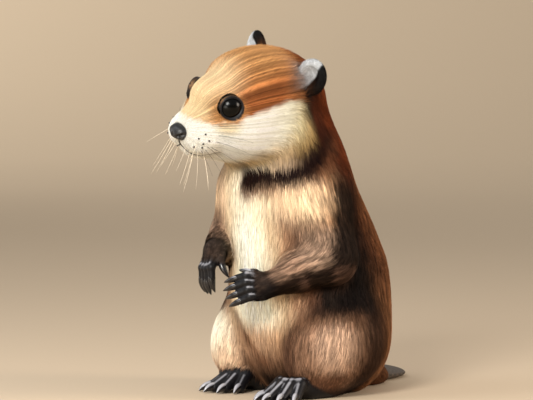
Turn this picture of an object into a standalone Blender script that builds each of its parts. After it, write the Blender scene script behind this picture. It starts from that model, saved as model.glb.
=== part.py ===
"""A young beaver sitting upright on its haunches, its forepaws held in front of its belly.

The body is a sculpture in distance fields: each part of it is a few ellipsoids and round limbs,
joined softly, whose surface is then turned into a closed mesh. Limbs, head, neck and trunk are
parted by thin cuts, so that each is a solid of its own that meets its neighbours face to face.

Metres, +Z up. The animal faces -Y and its left side is +X. The origin is under the rump, at the
middle of the patch that it sits on.
"""

from itertools import permutations
from math import cos, pi, radians, sin

import bmesh
import bpy
import numpy as np
from mathutils import Euler, Matrix, Vector

# ---- driving dimensions -------------------------------------------------------------------------

MM = 0.001
GAP = 0.35 * MM  # free space between two parts that meet
FLOOR_CUT = 0.5  # size of the block that flattens what stands on the floor

SIT_WIDTH, SIT_DEPTH = 78 * MM, 71 * MM  # half sizes of the rump
RUMP_HEIGHT = 49 * MM  # middle of the rump over the floor
BELLY_HEIGHT = 112 * MM
CHEST_HEIGHT = 186 * MM
LEAN = 40 * MM  # how far the chest is in front of the rump
NECK_RADIUS = 48 * MM

HEAD_AT = (-10 * MM, -80 * MM, 290 * MM)  # between the eyes and the ears
HEAD_YAW, HEAD_PITCH, HEAD_ROLL = radians(-2), radians(6), radians(17)
HEAD_HALF_WIDTH = 50 * MM
EYE_RADIUS, EYE_DEPTH = 13.5 * MM, 8.5 * MM  # the middle of the eye lies that deep
EAR_RADIUS = 18.0 * MM

FOOT_SPREAD = {1: 47 * MM, -1: 40 * MM}  # from the middle of the body to the left and right hind foot
HEEL_Y = {1: -27 * MM, -1: -5 * MM}  # the right foot is set back
TOE_RADIUS = 6.3 * MM
FINGER_RADIUS = 4.2 * MM
CLAW_LENGTH = 15 * MM
TAIL_LENGTH, TAIL_HALF_WIDTH, TAIL_THICKNESS = 174 * MM, 33 * MM, 9 * MM
PADDLE_START = 0.22  # share of the tail that is furred root

SIDES = {"left": 1, "right": -1}


def mm(*values):
    """A point or a set of radii, given in millimetres."""
    return np.array(values, float) * MM


def unit(vector):
    return np.array(vector, float) / np.linalg.norm(vector)


def mirrored(point, side):
    """A point of the left side, or its mirror image on the right."""
    return np.array(point, float) * (side, 1, 1)


# ---- distance fields: negative inside, zero on the surface --------------------------------------


def ellipsoid(p, centre, radii, turn=None):
    """Nearly the distance from the surface of an ellipsoid: (k - 1) k / |grad|, k its own radius."""
    q = p - centre
    if turn is not None:
        q = q @ turn
    k = np.linalg.norm(q / radii, axis=1)
    slope = np.linalg.norm(q / (radii * radii), axis=1)
    return k * (k - 1) / np.maximum(slope, 1e-9)


def limb(p, start, end, start_radius, end_radius):
    """Distance from a round bar whose radius runs evenly from its start to its end."""
    along = end - start
    t = np.clip((p - start) @ along / (along @ along), 0, 1)
    radius = start_radius + (end_radius - start_radius) * t
    return np.linalg.norm(p - start - t[:, None] * along, axis=1) - radius


def join(first, second, blend):
    """Union of two fields, with a fillet about as wide as blend."""
    share = np.clip(0.5 + 0.5 * (second - first) / blend, 0, 1)
    return second + (first - second) * share - blend * share * (1 - share)


def outward(field, inside, direction, reach=80 * MM):
    """The point where a ray that starts inside a field leaves it, found by halving."""
    near, far = 0.0, reach
    for _ in range(30):
        middle = (near + far) / 2
        if field((inside + direction * middle)[None])[0] < 0:
            near = middle
        else:
            far = middle
    return inside + direction * near


def carve(body, tool, blend):
    """The body with the tool taken out of it, the edge rounded by blend."""
    return -join(-body, tool, blend)


def in_frame(p, origin, axes):
    """World points in the frame whose axes are the columns of a rotation matrix."""
    return (p - origin) @ axes


def to_world(point, origin, axes):
    return np.array(origin) + axes @ np.array(point)


# ---- the parts of the body ----------------------------------------------------------------------

HEAD_ORIGIN = np.array(HEAD_AT)
HEAD_AXES = np.array(Euler((HEAD_PITCH, HEAD_ROLL, HEAD_YAW)).to_matrix())


def trunk(p):
    """Pear of rump, belly and chest, leaning forward as it goes up."""
    rump = ellipsoid(p, np.array((0, 0, RUMP_HEIGHT)), np.array((SIT_WIDTH, SIT_DEPTH, 63 * MM)))
    belly = ellipsoid(p, np.array((0, -14 * MM, BELLY_HEIGHT)), mm(71, 66, 76))
    chest = ellipsoid(p, np.array((0, -LEAN, CHEST_HEIGHT)), mm(60, 54, 70))
    back = limb(p, mm(0, -3, 122), mm(0, -29, 222), 61 * MM, 45 * MM)
    body = join(join(rump, belly, 50 * MM), join(chest, back, 40 * MM), 50 * MM)
    for side in SIDES.values():
        shoulder = ellipsoid(p, mirrored(mm(40, -42, 198), side), mm(28, 32, 36))
        body = join(body, shoulder, 30 * MM)
    return body


def neck(p):
    return limb(p, mm(0, -42, 222), mm(-6, -45, 286), NECK_RADIUS + 3 * MM, NECK_RADIUS)


def head(p):
    """Broad skull, deep cheeks and a blunt muzzle, in the frame of the head."""
    q = in_frame(p, HEAD_ORIGIN, HEAD_AXES)
    skull = ellipsoid(q, mm(0, 14, 10), np.array((HEAD_HALF_WIDTH, 54 * MM, 44 * MM)))
    bridge = limb(q, mm(0, -16, 9), mm(0, -66, -15), 36 * MM, 15 * MM)
    snout = ellipsoid(q, mm(0, -55, -23), mm(28, 29, 20))
    brow = ellipsoid(q, mm(0, -37, 11), mm(25, 33, 22.5))
    chin = ellipsoid(q, mm(0, -47, -41), mm(19, 29, 12))
    throat = ellipsoid(q, mm(0, 6, -34), mm(42, 46, 30))
    face = join(join(skull, bridge, 24 * MM), brow, 8 * MM)
    face = join(face, join(snout, chin, 6 * MM), 16 * MM)
    face = join(face, throat, 24 * MM)
    for side in SIDES.values():
        cheek = ellipsoid(q, mirrored(mm(28, -13, -20), side), mm(27, 42, 32))
        lip = ellipsoid(q, mirrored(mm(13.5, -65, -28), side), mm(16, 17, 14.5))
        face = join(face, cheek, 20 * MM)
        face = join(face, lip, 9 * MM)
    return face


ARMS = {
    "left": dict(
        shoulder=mm(45, -46, 195), elbow=mm(70, -44, 137), wrist=mm(40, -100, 112),
        reach=unit((-0.56, -0.80, -0.12)), back=(0.74, -0.60, 0.23), hand=1,
    ),
    "right": dict(
        shoulder=mm(-45, -46, 195), elbow=mm(-70, -46, 148), wrist=mm(-32, -105, 143),
        reach=unit((-0.02, -0.42, -0.90)), back=(-0.30, -0.85, 0.43), hand=-1,
    ),
}
SHOULDER_RADIUS, ELBOW_RADIUS, MIDDLE_RADIUS, WRIST_RADIUS = 35 * MM, 24 * MM, 18 * MM, 12.5 * MM
FINGER_ACROSS = (-10, -9.6, -3.2, 3.2, 9.6)  # where each finger starts across the palm, thumb first
FINGER_FAN = (-38, -7, -4, -1, 2)  # degrees
FINGER_LENGTHS = (10, 21, 23, 22, 20)


def hand_axes(arm):
    """Columns: across the palm from the thumb, out of the back of the hand, and along the fingers."""
    reach = arm["reach"]
    back = unit(np.array(arm["back"]) - reach * (reach @ np.array(arm["back"])))
    return np.stack([np.cross(back, reach) * arm["hand"], back, reach], axis=1)


def fingers(arm):
    """Knuckle, bend and tip of each finger of a hand, in the world."""
    axes = hand_axes(arm)
    found = []
    for across, degrees, length in zip(FINGER_ACROSS, FINGER_FAN, FINGER_LENGTHS, strict=True):
        thumb = degrees < -20
        direction = np.array((sin(radians(degrees)), 0, cos(radians(degrees))))
        knuckle = mm(across, -4 if thumb else 1, 6 if thumb else 8)
        bend = knuckle + (direction * 0.58 + (-0.05, 0.09, 0)) * length * MM
        tip = bend + (direction * 0.44 + (0.09, -0.22, 0)) * length * MM
        found.append([to_world(x, arm["wrist"], axes) for x in (knuckle, bend, tip)])
    return found


def arm_field(p, arm):
    """Upper arm, forearm, palm and fingers."""
    shoulder, elbow, wrist = arm["shoulder"], arm["elbow"], arm["wrist"]
    upper = limb(p, shoulder, elbow, SHOULDER_RADIUS, ELBOW_RADIUS)
    middle = elbow + (wrist - elbow) * 0.55
    fore = limb(p, elbow, middle, ELBOW_RADIUS, MIDDLE_RADIUS)
    fore = join(fore, limb(p, middle, wrist, MIDDLE_RADIUS, WRIST_RADIUS), 8 * MM)
    whole = join(upper, fore, 12 * MM)
    q = in_frame(p, wrist, hand_axes(arm))
    palm = ellipsoid(q, mm(0, -0.5, 8), mm(13, 7, 12))
    whole = join(whole, palm, 7 * MM)
    for knuckle, bend, tip in fingers(arm):
        finger = limb(p, knuckle, bend, FINGER_RADIUS * 1.12, FINGER_RADIUS)
        finger = join(finger, limb(p, bend, tip, FINGER_RADIUS, FINGER_RADIUS * 0.85), 2 * MM)
        whole = join(whole, finger, 2.2 * MM)
    return whole


TOE_FAN = (-26, -12, 1, 14, 27)  # degrees about the foot's own line, inner toe first
TOE_LENGTHS = (27, 35, 39, 36, 29)
FOOT_SPLAY = radians(6)


def foot_frame(side):
    """Heel of a hind foot, and columns: across, towards the toes, and up."""
    heel = np.array((side * FOOT_SPREAD[side], HEEL_Y[side], 0))
    turn = np.array(Matrix.Rotation(side * FOOT_SPLAY, 3, "Z"))
    return heel, turn @ np.diag((side, -1, 1))


def toes(side):
    """Root, knuckle and tip of each toe of a hind foot, in the world."""
    heel, axes = foot_frame(side)
    found = []
    for degrees, length in zip(TOE_FAN, TOE_LENGTHS, strict=True):
        a = radians(degrees)
        direction = np.array((sin(a), cos(a), 0))
        root = mm(0, 30, 12) + direction * mm(17, 17, 0)
        knuckle = root + direction * length * 0.45 * MM + mm(0, 0, 4.5)
        tip = root + direction * length * MM - mm(0, 0, 7.2)
        found.append([to_world(x, heel, axes) for x in (root, knuckle, tip)])
    return found


def leg_field(p, side):
    """Haunch, knee, the long webbed foot and its toes."""
    haunch = ellipsoid(p, mirrored(mm(54, -18, 54), side), mm(38, 52, 55))
    knee = ellipsoid(p, mirrored(mm(54, -48, 42), side), mm(28, 34, 40))
    leg = join(haunch, knee, 24 * MM)
    heel, axes = foot_frame(side)
    q = in_frame(p, heel, axes)
    instep = ellipsoid(q, mm(0, 18, 10), mm(18, 40, 14))
    foot = instep
    joints = toes(side)
    for root, knuckle, tip in joints:
        toe = limb(p, root, knuckle, TOE_RADIUS, TOE_RADIUS)
        toe = join(toe, limb(p, knuckle, tip, TOE_RADIUS, TOE_RADIUS * 0.8), 2 * MM)
        foot = join(foot, toe, 3 * MM)
    for first, second in zip(joints, joints[1:], strict=False):
        for share in (0.25, 0.5, 0.75):
            inner = first[0] + (second[0] - first[0]) * share - mm(0, 0, 4)
            outer = first[2] + (second[2] - first[2]) * share
            outer = inner + (outer - inner) * 0.80 - mm(0, 0, 0.6)
            foot = join(foot, limb(p, inner, outer, 2.6 * MM, 1.6 * MM), 1.6 * MM)
    return join(leg, foot, 10 * MM)


def tail_line(t):
    """Middle line of the tail, from the rump (0) to its tip (1): it lies curled to the right."""
    t = np.asarray(t, float)
    start, turn = radians(14), radians(72)
    x = -8 * MM - TAIL_LENGTH * (np.cos(start) - np.cos(start + turn * t)) / turn
    y = 58 * MM + TAIL_LENGTH * (np.sin(start + turn * t) - np.sin(start)) / turn
    z = 26 * MM * np.exp(-9 * t) + TAIL_THICKNESS / 2 - 1 * MM
    return np.stack([x, y, z], axis=-1)


def flattening(p):
    """How many times lower than wide the tail is: 1 at the rump, more as it leaves it."""
    far = np.linalg.norm(p[:, :2] - tail_line(0)[:2], axis=1) / (PADDLE_START * TAIL_LENGTH)
    return 1 + 0.9 * np.clip(far, 0, 1) ** 2


def tail_root(p):
    """Furred root of the tail, thick at the rump and flattening towards the paddle."""
    stations = tail_line(np.linspace(0.0, PADDLE_START + 0.02, 4))
    stations[:, 2] *= flattening(stations)
    q = p * (1, 1, 0) + (p[:, 2] * flattening(p))[:, None] * (0, 0, 1)
    radii = mm(33, 27, 21, 17)
    field = limb(q, stations[0], stations[1], radii[0], radii[1])
    for k in (1, 2):
        field = join(field, limb(q, stations[k], stations[k + 1], radii[k], radii[k + 1]), 6 * MM)
    return field


def paddle_rings(stations=12, around=14):
    """Cross-sections of the bare, flat end of the tail: wide, thin, round at its tip."""
    s = np.concatenate([np.linspace(0, 0.8, stations - 6), 0.8 + 0.2 * np.sin(np.linspace(0.16, 1, 6) * pi / 2)])
    t = PADDLE_START + GAP / 2 / TAIL_LENGTH + (1 - PADDLE_START) * s
    widening = np.clip(s / 0.42, 0, 1)
    wide = 0.50 + 0.50 * widening * widening * (3 - 2 * widening)
    wide = TAIL_HALF_WIDTH * wide * np.sqrt(np.clip(1 - np.clip((s - 0.5) / 0.505, 0, 1) ** 2.8, 0, 1))
    thick = TAIL_THICKNESS / 2 * (1 + 0.5 * np.exp(-6 * s)) * (1 - 0.45 * s**6)
    line = tail_line(t)
    along = tail_line(t + 0.01) - tail_line(t - 0.01)
    along /= np.linalg.norm(along, axis=1, keepdims=True)
    across = np.cross(along, (0, 0, 1.0))
    across /= np.linalg.norm(across, axis=1, keepdims=True)
    up = np.cross(across, along)
    angle = np.linspace(0, 2 * pi, around, endpoint=False)
    flat = np.sign(np.sin(angle)) * np.abs(np.sin(angle)) ** 0.8
    out = across[:, None] * (wide[:, None] * np.cos(angle))[..., None]
    return line[:, None] + out + up[:, None] * (thick[:, None] * flat)[..., None]


# ---- from a field to a closed mesh --------------------------------------------------------------


def mesh_of(field, low, high, step):
    """Closed triangle mesh of a field inside a box: marching tetrahedra, six to each cube."""
    counts = np.ceil((np.array(high) - low) / step).astype(int) + 1
    lines = [low[k] + step * np.arange(counts[k]) for k in range(3)]
    points = np.stack(np.meshgrid(*lines, indexing="ij"), axis=-1).reshape(-1, 3)
    value = np.concatenate([field(part) for part in np.array_split(points, 24)])
    value = value.reshape(counts)
    for axis in range(3):  # nothing reaches the box, so that the surface closes
        edge = np.moveaxis(value, axis, 0)
        edge[0] = np.maximum(edge[0], step)
        edge[-1] = np.maximum(edge[-1], step)
    value = value.ravel()
    value[np.abs(value) < 1e-7] = 1e-7
    strides = np.array((counts[1] * counts[2], counts[2], 1))
    cells = np.stack(np.meshgrid(*[np.arange(c - 1) for c in counts], indexing="ij"), -1)
    first = cells.reshape(-1, 3) @ strides
    corners = first[:, None] + np.array([[i, j, k] for i in (0, 1) for j in (0, 1) for k in (0, 1)]) @ strides
    inside = value[corners] < 0
    first = first[inside.any(axis=1) & ~inside.all(axis=1)]
    triangles = []
    for order in permutations(range(3)):
        steps = np.cumsum([0, *(strides[k] for k in order)])
        tetra = first[:, None] + steps
        sign = value[tetra] < 0
        tetra = np.take_along_axis(tetra, np.argsort(~sign, axis=1, kind="stable"), axis=1)
        number = sign.sum(axis=1)
        a, b, c, d = (tetra[:, k] for k in range(4))
        cases = {
            1: [((a, b), (a, c), (a, d))],
            2: [((a, c), (a, d), (b, d)), ((a, c), (b, d), (b, c))],
            3: [((a, d), (b, d), (c, d))],
        }
        for count, shapes in cases.items():
            chosen = number == count
            for shape in shapes:
                triangles.append(np.stack([np.stack(e, axis=1)[chosen] for e in shape], axis=1))
    edges = np.concatenate(triangles).reshape(-1, 2)
    key, index = np.unique(edges[:, 0] * len(value) + edges[:, 1], return_inverse=True)
    start, end = key // len(value), key % len(value)
    share = value[start] / (value[start] - value[end])
    share = np.clip(share, 0.04, 0.96)[:, None]
    places = points[start] * (1 - share) + points[end] * share
    faces = index.reshape(-1, 3)
    # A field has a way out, from the inner end of an edge to its outer end, and faces look that way.
    out = (points[end] - points[start])[faces].mean(axis=1)
    normal = np.cross(places[faces[:, 1]] - places[faces[:, 0]], places[faces[:, 2]] - places[faces[:, 0]])
    wrong = (normal * out).sum(axis=1) < 0
    faces[wrong] = faces[wrong][:, ::-1]
    return places, faces


# ---- Blender objects ----------------------------------------------------------------------------


def material(name, colour, roughness, metallic=0.0):
    made = bpy.data.materials.new(name)
    made.use_nodes = True
    shader = made.node_tree.nodes["Principled BSDF"]
    shader.inputs["Base Color"].default_value = (*colour, 1)
    shader.inputs["Roughness"].default_value = roughness
    shader.inputs["Metallic"].default_value = metallic
    return made


def add_object(name, mesh, finish=None, helper=False):
    obj = bpy.data.objects.new(name, mesh)
    bpy.context.scene.collection.objects.link(obj)
    if finish:
        mesh.materials.append(finish)
    if helper:
        obj.hide_render = True
        obj.display_type = "WIRE"
    mesh.shade_smooth()
    return obj


def mesh_from(name, places, faces):
    mesh = bpy.data.meshes.new(name)
    mesh.from_pydata(np.asarray(places).tolist(), [], [list(map(int, f)) for f in faces])
    return mesh


def thinned(name, places, faces, target):
    """The mesh with about target triangles, most of them where it bends most."""
    obj = add_object(name + "_fine", mesh_from(name + "_fine", places, faces), helper=True)
    obj.hide_render = False
    fewer = obj.modifiers.new("fewer", "DECIMATE")
    fewer.ratio = min(1.0, target / len(faces))
    graph = bpy.context.evaluated_depsgraph_get()
    mesh = bpy.data.meshes.new_from_object(obj.evaluated_get(graph))
    bpy.data.objects.remove(obj)
    mesh.name = name
    return mesh


def solid(name, field, low, high, step, target):
    """Mesh of a field, thinned. The box's corners are in millimetres."""
    places, faces = mesh_of(field, mm(*low), mm(*high), step * MM)
    return thinned(name, places, faces, target)


def grown(mesh, name, margin=GAP):
    """Helper object: the mesh moved outwards along its normals, to cut a neighbour with."""
    copy = mesh.copy()
    copy.name = name
    normals = np.empty(len(copy.vertices) * 3, np.float32)
    copy.vertices.foreach_get("normal", normals)
    places = np.empty_like(normals)
    copy.vertices.foreach_get("co", places)
    copy.vertices.foreach_set("co", places + normals * margin)
    copy.update()
    return add_object(name, copy, helper=True)


def block(name, centre, size, axes=None):
    """Helper object: a box to cut with, turned so that its own axes are the given columns."""
    mesh = bpy.data.meshes.new(name)
    box = bmesh.new()
    bmesh.ops.create_cube(box, size=1)
    turn = Matrix(np.eye(3) if axes is None else axes).to_4x4()
    place = Matrix.Translation(Vector(centre)) @ turn @ Matrix.Diagonal((*size, 1))
    bmesh.ops.transform(box, matrix=place, verts=box.verts)
    bmesh.ops.recalc_face_normals(box, faces=box.faces)
    box.to_mesh(mesh)
    box.free()
    return add_object(name, mesh, helper=True)


def axes_along(normal):
    """Rotation whose third column is the normal."""
    normal = unit(normal)
    side = unit(np.cross((0.0, 1.0, 0.0) if abs(normal[1]) < 0.9 else (1.0, 0.0, 0.0), normal))
    return np.stack([side, np.cross(normal, side), normal], axis=1)


def beyond(name, point, normal, size=0.6, margin=GAP / 2):
    """Helper block that fills the side of a plane that its normal points to, past the point by margin."""
    axes = axes_along(normal)
    return block(name, np.array(point) + axes[:, 2] * (size / 2 - margin), (size, size, size), axes)


def boolean(obj, tool, operation="DIFFERENCE"):
    cut = obj.modifiers.new(tool.name, "BOOLEAN")
    cut.object = tool
    cut.operation = operation
    cut.solver = "EXACT"
    return obj


def tube_mesh(name, rings):
    """Closed mesh through rings of points, with a flat lid at each end."""
    form = bmesh.new()
    rows = [[form.verts.new(v) for v in ring] for ring in rings]
    for lower, upper in zip(rows, rows[1:], strict=False):
        for k in range(len(lower)):
            form.faces.new((lower[k], lower[k - 1], upper[k - 1], upper[k]))
    form.faces.new(rows[0])
    form.faces.new(rows[-1][::-1])
    bmesh.ops.triangulate(form, faces=form.faces)
    bmesh.ops.recalc_face_normals(form, faces=form.faces)
    mesh = bpy.data.meshes.new(name)
    form.to_mesh(mesh)
    form.free()
    return mesh


def claw_rings(root, tip, radius, arch, sides=6, rings=4):
    """Round sections that shrink along a path from root to tip, arched by the given vector."""
    t = np.linspace(0, 1, rings)[:, None]
    path = root + (tip - root) * t + arch * 4 * t * (1 - t)
    along = np.gradient(path, axis=0)
    along /= np.linalg.norm(along, axis=1, keepdims=True)
    side = np.cross(along, np.broadcast_to(unit(arch), along.shape))
    side /= np.linalg.norm(side, axis=1, keepdims=True)
    up = np.cross(side, along)
    width = radius * (1 - 0.86 * t**2.1)
    angle = np.linspace(0, 2 * pi, sides, endpoint=False)
    ring = np.cos(angle)[None, :, None] * side[:, None] * 0.85 + np.sin(angle)[None, :, None] * up[:, None]
    return path[:, None] + ring * width[:, None]


def egg(name, centre, radii, axes, finish, segments=20, rings=12):
    """Ellipsoid from a primitive sphere, turned to the given axes."""
    mesh = bpy.data.meshes.new(name)
    form = bmesh.new()
    bmesh.ops.create_uvsphere(form, u_segments=segments, v_segments=rings, radius=1)
    place = Matrix.Translation(Vector(centre)) @ Matrix(axes).to_4x4() @ Matrix.Diagonal((*radii, 1))
    bmesh.ops.transform(form, matrix=place, verts=form.verts)
    form.to_mesh(mesh)
    form.free()
    return add_object(name, mesh, finish)


# ---- sub-parts ----------------------------------------------------------------------------------

EYE_LINE = mm(0, -37, 5)  # between the two eyes
EYE_FACING = {side: unit((side, -0.42, 0.16)) for side in SIDES.values()}
EAR_AT = mm(43, 38, 31)
NOSE_AT, NOSE_RADII = mm(0, -83.4, -21), mm(10.8, 8.6, 7.9)


def ear_field(p, side):
    """Round cup: a thick disc, hollowed in front, whose foot sinks into the head."""
    facing = unit((0.22 * side, -0.96, 0.12))
    up = np.array((0.45 * side, 0.10, 1.0))
    up = unit(up - facing * (up @ facing))
    axes = np.stack([np.cross(facing, up), facing, up], axis=1)
    q = (in_frame(p, HEAD_ORIGIN, HEAD_AXES) - mirrored(EAR_AT, side)) @ axes
    disc = ellipsoid(q, mm(0, 0, 3), np.array((EAR_RADIUS, 6.5 * MM, EAR_RADIUS * 1.1)))
    hollow = ellipsoid(q, mm(0, 7.2, 4.5), mm(11.5, 7.8, 12))
    return carve(disc, hollow, 2 * MM)


def eye_centre(side):
    """Centre of an eye, in the frame of the head: just under the surface of the face."""
    def face(points):
        return head(HEAD_ORIGIN + points @ HEAD_AXES.T)

    start = EYE_LINE + mm(8 * side, 0, 0)
    return outward(face, start, EYE_FACING[side]) - EYE_FACING[side] * EYE_DEPTH


def core(p):
    """Trunk, neck and head in one."""
    return join(join(trunk(p), neck(p), 26 * MM), head(p), 16 * MM)


def build():
    for obj in list(bpy.data.objects):
        bpy.data.objects.remove(obj)

    coat_dark = material("coat_dark", (0.16, 0.075, 0.035), 0.85)
    coat_tan = material("coat_tan", (0.56, 0.33, 0.16), 0.85)
    black_skin = material("black_skin", (0.018, 0.017, 0.020), 0.45)
    claw_horn = material("claw_horn", (0.03, 0.028, 0.03), 0.30)
    tail_skin = material("tail_skin", (0.055, 0.045, 0.042), 0.55)
    eye_gloss = material("eye_gloss", (0.006, 0.005, 0.006), 0.05)

    floor = block("floor_cutter", (0, 0, -FLOOR_CUT / 2), (2, 2, FLOOR_CUT))

    # Limbs and tail first, because the trunk is cut by them.
    limbs = {}
    for name, side in SIDES.items():
        arm = ARMS[name]
        span = np.stack([arm["shoulder"], arm["elbow"], arm["wrist"]]) / MM
        low, high = span.min(0) - 52, span.max(0) + 36
        upper = solid(f"arm_{name}", lambda p, a=arm: arm_field(p, a), low, high, 2.4, 290)
        low, high = arm["wrist"] / MM - 30, arm["wrist"] / MM + 30
        reach = arm["reach"] * 18
        hand = solid(f"hand_{name}", lambda p, a=arm: arm_field(p, a), low + reach, high + reach, 1.2, 420)
        leg = solid(
            f"leg_{name}", lambda p, s=side: leg_field(p, s),
            np.array((min(side * 15, side * 112), -160, -12)), np.array((max(side * 15, side * 112), 36, 130)), 3.2, 280,
        )
        foot = solid(
            f"foot_{name}", lambda p, s=side: leg_field(p, s),
            np.array((min(side * 12, side * 106), -150, -6)), np.array((max(side * 12, side * 106), -20, 40)), 1.7, 430,
        )
        limbs[name] = dict(arm=upper, hand=hand, leg=leg, foot=foot)

    root = solid("tail_root", tail_root, (-60, 20, -8), (50, 130, 70), 3.0, 150)

    trunk_mesh = solid("trunk", core, (-110, -160, -12), (110, 110, 300), 4.2, 650)
    neck_mesh = solid("neck", core, (-90, -140, 190), (90, 60, 350), 3.2, 520)
    head_mesh = solid("head", core, (-80, -190, 210), (80, 10, 370), 2.2, 1220)

    neck_up = unit((0, -0.45, 0.89))
    head_up = unit((0.02, -0.66, 0.75))
    neck_low, neck_high = mm(0, -30, 236), mm(-4, -50, 266)

    trunk_node = add_object("trunk", trunk_mesh, coat_dark)
    boolean(trunk_node, beyond("trunk_top_cutter", neck_low, neck_up))
    boolean(trunk_node, floor)
    neck_node = add_object("neck", neck_mesh, coat_dark)
    boolean(neck_node, beyond("neck_foot_cutter", neck_low, -neck_up))
    boolean(neck_node, beyond("neck_top_cutter", neck_high, head_up))
    head_node = add_object("head", head_mesh, coat_tan)
    boolean(head_node, beyond("head_foot_cutter", neck_high, -head_up))

    for name, side in SIDES.items():
        ear_mid = HEAD_ORIGIN + HEAD_AXES @ mirrored(EAR_AT, side)
        ear = solid(f"ear_{name}", lambda p, s=side: ear_field(p, s), ear_mid / MM - 25, ear_mid / MM + 27, 1.3, 160)
        boolean(head_node, grown(ear, f"ear_cutter_{name}"))
        add_object(f"ear_{name}", ear, black_skin)
        centre = to_world(eye_centre(side), HEAD_ORIGIN, HEAD_AXES)
        eye = egg(f"eye_{name}", centre, (EYE_RADIUS,) * 3, axes_along(HEAD_AXES @ EYE_FACING[side]), eye_gloss, 11, 7)
        boolean(head_node, grown(eye.data, f"eye_cutter_{name}"))
    nose = egg("nose_pad", to_world(NOSE_AT, HEAD_ORIGIN, HEAD_AXES), NOSE_RADII, HEAD_AXES, black_skin, 11, 7)
    boolean(head_node, grown(nose.data, "nose_cutter"))

    tail_joint = tail_line(PADDLE_START)
    tail_along = unit(tail_line(PADDLE_START + 0.01) - tail_line(PADDLE_START - 0.01))
    paddle_node = add_object("tail_paddle", tube_mesh("tail_paddle", paddle_rings()), tail_skin)
    boolean(paddle_node, floor)
    boolean(trunk_node, grown(root, "tail_root_cutter"))
    root_node = add_object("tail_root", root, coat_dark)
    boolean(root_node, beyond("tail_root_end_cutter", tail_joint, tail_along, 0.2))
    boolean(root_node, floor)

    for name, side in SIDES.items():
        arm, made = ARMS[name], limbs[name]
        boolean(trunk_node, grown(made["arm"], f"arm_cutter_{name}"))
        boolean(trunk_node, grown(made["leg"], f"leg_cutter_{name}"))

        elbow_along = unit(unit(arm["elbow"] - arm["shoulder"]) + unit(arm["wrist"] - arm["elbow"]))
        wrist_at = arm["wrist"] + arm["reach"] * -2 * MM
        wrist_along = unit(unit(arm["wrist"] - arm["elbow"]) + arm["reach"])
        upper_node = add_object(f"upper_arm_{name}", made["arm"], coat_tan)
        boolean(upper_node, beyond(f"elbow_cutter_{name}", arm["elbow"], elbow_along))
        boolean(upper_node, beyond(f"neck_side_cutter_{name}", neck_low, neck_up))
        fore_node = add_object(f"forearm_{name}", made["arm"].copy(), coat_dark)
        boolean(fore_node, beyond(f"fore_start_cutter_{name}", arm["elbow"], -elbow_along))
        boolean(fore_node, beyond(f"wrist_cutter_{name}", wrist_at, wrist_along, 0.2))
        hand_node = add_object(f"hand_{name}", made["hand"], black_skin)
        boolean(hand_node, beyond(f"hand_start_cutter_{name}", wrist_at, -wrist_along, 0.2))
        back = hand_axes(arm)[:, 1]
        for number, (_, bend, tip) in enumerate(fingers(arm), 1):
            along = unit(tip - bend)
            end = tip + along * (CLAW_LENGTH - 2 * MM) - back * 3 * MM
            rings = claw_rings(tip - along * 1.0 * MM, end, FINGER_RADIUS * 0.86, back * 1.4 * MM)
            claw = add_object(f"claw_hand_{name}_{number}", tube_mesh(f"claw_hand_{name}_{number}", rings), claw_horn)
            boolean(hand_node, grown(claw.data, f"claw_hand_cutter_{name}_{number}"))

        ankle_at, ankle_along = np.array((side * FOOT_SPREAD[side], -66 * MM, 14 * MM)), (0, -0.72, -0.69)
        thigh_node = add_object(f"thigh_{name}", made["leg"], coat_tan)
        boolean(thigh_node, beyond(f"ankle_cutter_{name}", ankle_at, ankle_along, 0.3))
        boolean(thigh_node, floor)
        foot_node = add_object(f"foot_{name}", made["foot"], black_skin)
        boolean(foot_node, beyond(f"foot_start_cutter_{name}", ankle_at, -np.array(ankle_along), 0.3))
        boolean(foot_node, floor)
        for number, (_, knuckle, tip) in enumerate(toes(side), 1):
            ahead = unit((tip - knuckle) * (1, 1, 0))
            start = tip - ahead * 1.0 * MM + mm(0, 0, 0.6)
            end = tip + ahead * (CLAW_LENGTH - 2 * MM) + np.array((0, 0, 1.1 * MM - tip[2]))
            rings = claw_rings(start, end, TOE_RADIUS * 0.66, mm(0, 0, 1.8))
            claw = add_object(f"claw_foot_{name}_{number}", tube_mesh(f"claw_foot_{name}_{number}", rings), claw_horn)
            boolean(foot_node, grown(claw.data, f"claw_foot_cutter_{name}_{number}"))


build()
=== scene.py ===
import math

import bpy
import numpy as np
from mathutils import Euler, Matrix, Vector


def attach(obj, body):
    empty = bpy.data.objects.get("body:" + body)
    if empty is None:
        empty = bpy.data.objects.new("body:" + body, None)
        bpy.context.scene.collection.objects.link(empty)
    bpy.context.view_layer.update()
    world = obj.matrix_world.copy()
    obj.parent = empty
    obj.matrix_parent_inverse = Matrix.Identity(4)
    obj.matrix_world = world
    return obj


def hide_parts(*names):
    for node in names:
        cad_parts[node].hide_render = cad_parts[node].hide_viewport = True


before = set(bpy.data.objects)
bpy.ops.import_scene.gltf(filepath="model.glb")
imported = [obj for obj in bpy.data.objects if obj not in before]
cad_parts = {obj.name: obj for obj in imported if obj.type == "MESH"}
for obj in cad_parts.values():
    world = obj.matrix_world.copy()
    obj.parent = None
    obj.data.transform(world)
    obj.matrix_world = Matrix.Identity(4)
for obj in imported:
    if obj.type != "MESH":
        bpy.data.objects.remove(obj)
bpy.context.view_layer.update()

mm = 0.001
rng = np.random.default_rng(20)
sides = {1: "left", -1: "right"}


def points(*values):
    return np.array(values, float) * mm


def unit(v):
    v = np.array(v, float)
    return v / np.maximum(np.linalg.norm(v, axis=-1, keepdims=True), 1e-12)


def norm(v):
    return np.linalg.norm(v, axis=-1)


def onSide(point, side):
    return np.array(point, float) * (side, 1, 1)


def smooth(t):  # 0 below 0, 1 above 1, 3 t^2 - 2 t^3 between
    t = np.clip(t, 0, 1)
    return t * t * (3 - 2 * t)


def ramp(value, start, end):
    return smooth((value - start) / (end - start))


def fall(value, start, end):
    return 1 - ramp(value, start, end)


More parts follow.
